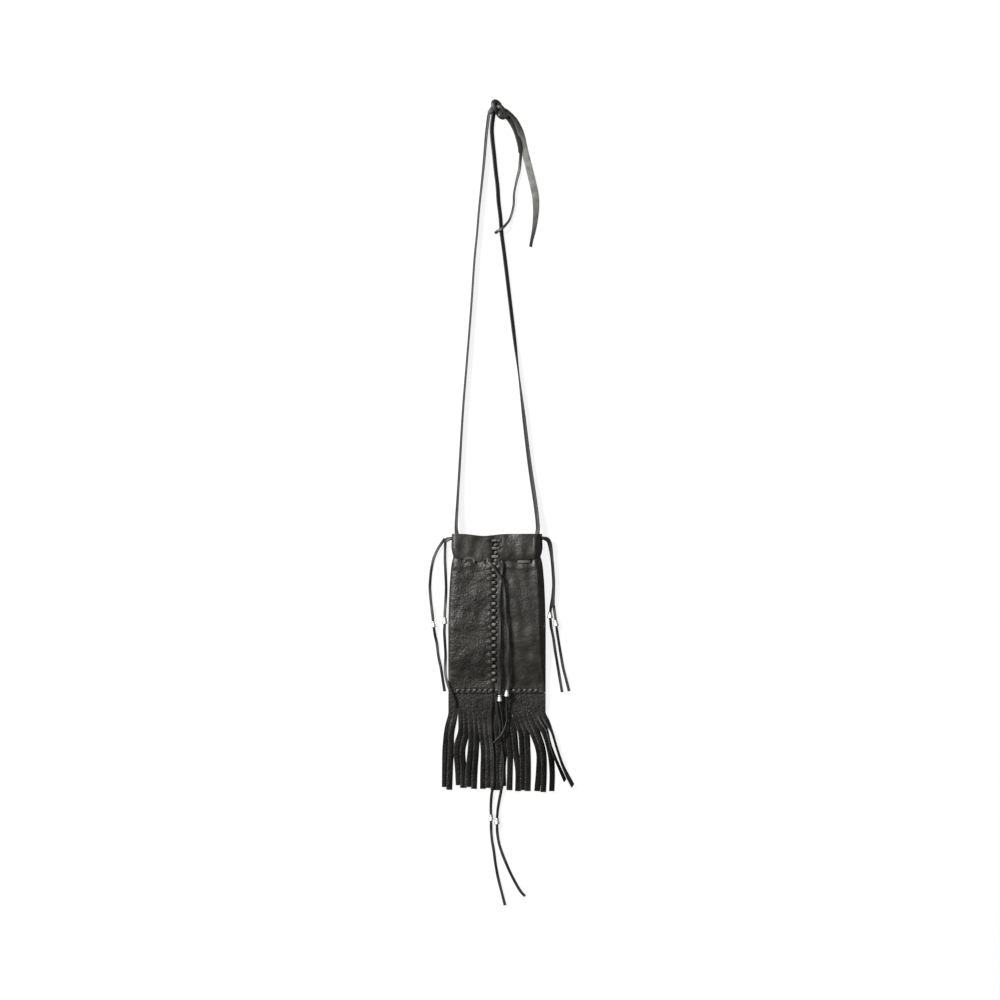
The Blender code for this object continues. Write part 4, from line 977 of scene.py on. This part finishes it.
silver, tree, shader = new_material("polished silver", metallic=1.0, roughness=0.42)
shader.inputs["Base Color"].default_value = linear("#efeeea")
tail_leather = lace_leather("black thong leather", "#100f0e", "#262522", 0.52, 0.6)
for number, (tail, ball, route, bead_y) in enumerate(BEADED_TAILS):
    points, roll, width, thickness = tail_shape(route, bead_y, 20 + number)
    silver_bead = bead(ball + "_bell", points, bead_y, silver)
    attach(silver_bead, "root")
    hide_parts(ball)
    free_lace(tail + "_lace", points, width, thickness, tail_leather, roll, tail)

# Table, light and camera: a white sweep, light from the upper left as in the
# photograph, and a long lens straight above.

CAMERA = (3.3, 124.3, 3055.6)
SENSOR = 36.0
LENS = 100.0
TABLE_REACH = 6000.0


def softbox(name, place, target, size, power):
    """An area light of size mm at place, turned to target."""
    data = bpy.data.lights.new(name, "AREA")
    data.shape = "DISK"
    data.size = size * MM
    data.energy = power
    obj = bpy.data.objects.new(name, data)
    obj.location = Vector(place) * MM
    obj.rotation_euler = (Vector(target) - Vector(place)).to_track_quat("-Z", "Y").to_euler()
    bpy.context.scene.collection.objects.link(obj)


table_mesh = bpy.data.meshes.new("table")
reach = TABLE_REACH * MM
table_mesh.from_pydata([(-reach, -reach, 0), (reach, -reach, 0), (reach, reach, 0),
                        (-reach, reach, 0)], [], [(0, 1, 2, 3)])
paper = bpy.data.materials.new("white paper")
paper.use_nodes = True
tree = paper.node_tree
tree.nodes.clear()
seen = node(tree, "LightPath", "Is Camera Ray", {})
shade = node(tree, "BsdfDiffuse", "BSDF", {"Color": (0.12, 0.12, 0.12, 1.0)})
glow = node(tree, "Emission", "Emission", {"Color": (1.0, 1.0, 1.0, 1.0), "Strength": 0.87})
shown = node(tree, "AddShader", 0, {0: shade, 1: glow})
plain = node(tree, "BsdfDiffuse", "BSDF", {"Color": (0.25, 0.25, 0.25, 1.0)})
mixed = node(tree, "MixShader", 0, {0: seen, 1: plain, 2: shown})
output = tree.nodes.new("ShaderNodeOutputMaterial")
tree.links.new(mixed, output.inputs["Surface"])
table = add_object("table", table_mesh, paper)

world = bpy.data.worlds.new("studio")
world.use_nodes = True
world.node_tree.nodes["Background"].inputs["Color"].default_value = (1.0, 1.0, 1.0, 1.0)
world.node_tree.nodes["Background"].inputs["Strength"].default_value = 0.16
bpy.context.scene.world = world
softbox("key", (-1650, 1150, 1600), (0, 0, 0), 650, 150)
softbox("top", (-500, 600, 2600), (0, 100, 0), 1200, 11)
bpy.context.scene.view_settings.view_transform = "Standard"

camera_data = bpy.data.cameras.new("camera")
camera_data.lens = LENS
camera_data.sensor_width = SENSOR
camera_data.clip_end = 20.0
camera = bpy.data.objects.new("camera", camera_data)
camera.location = Vector(CAMERA) * MM
bpy.context.scene.collection.objects.link(camera)
bpy.context.scene.camera = camera
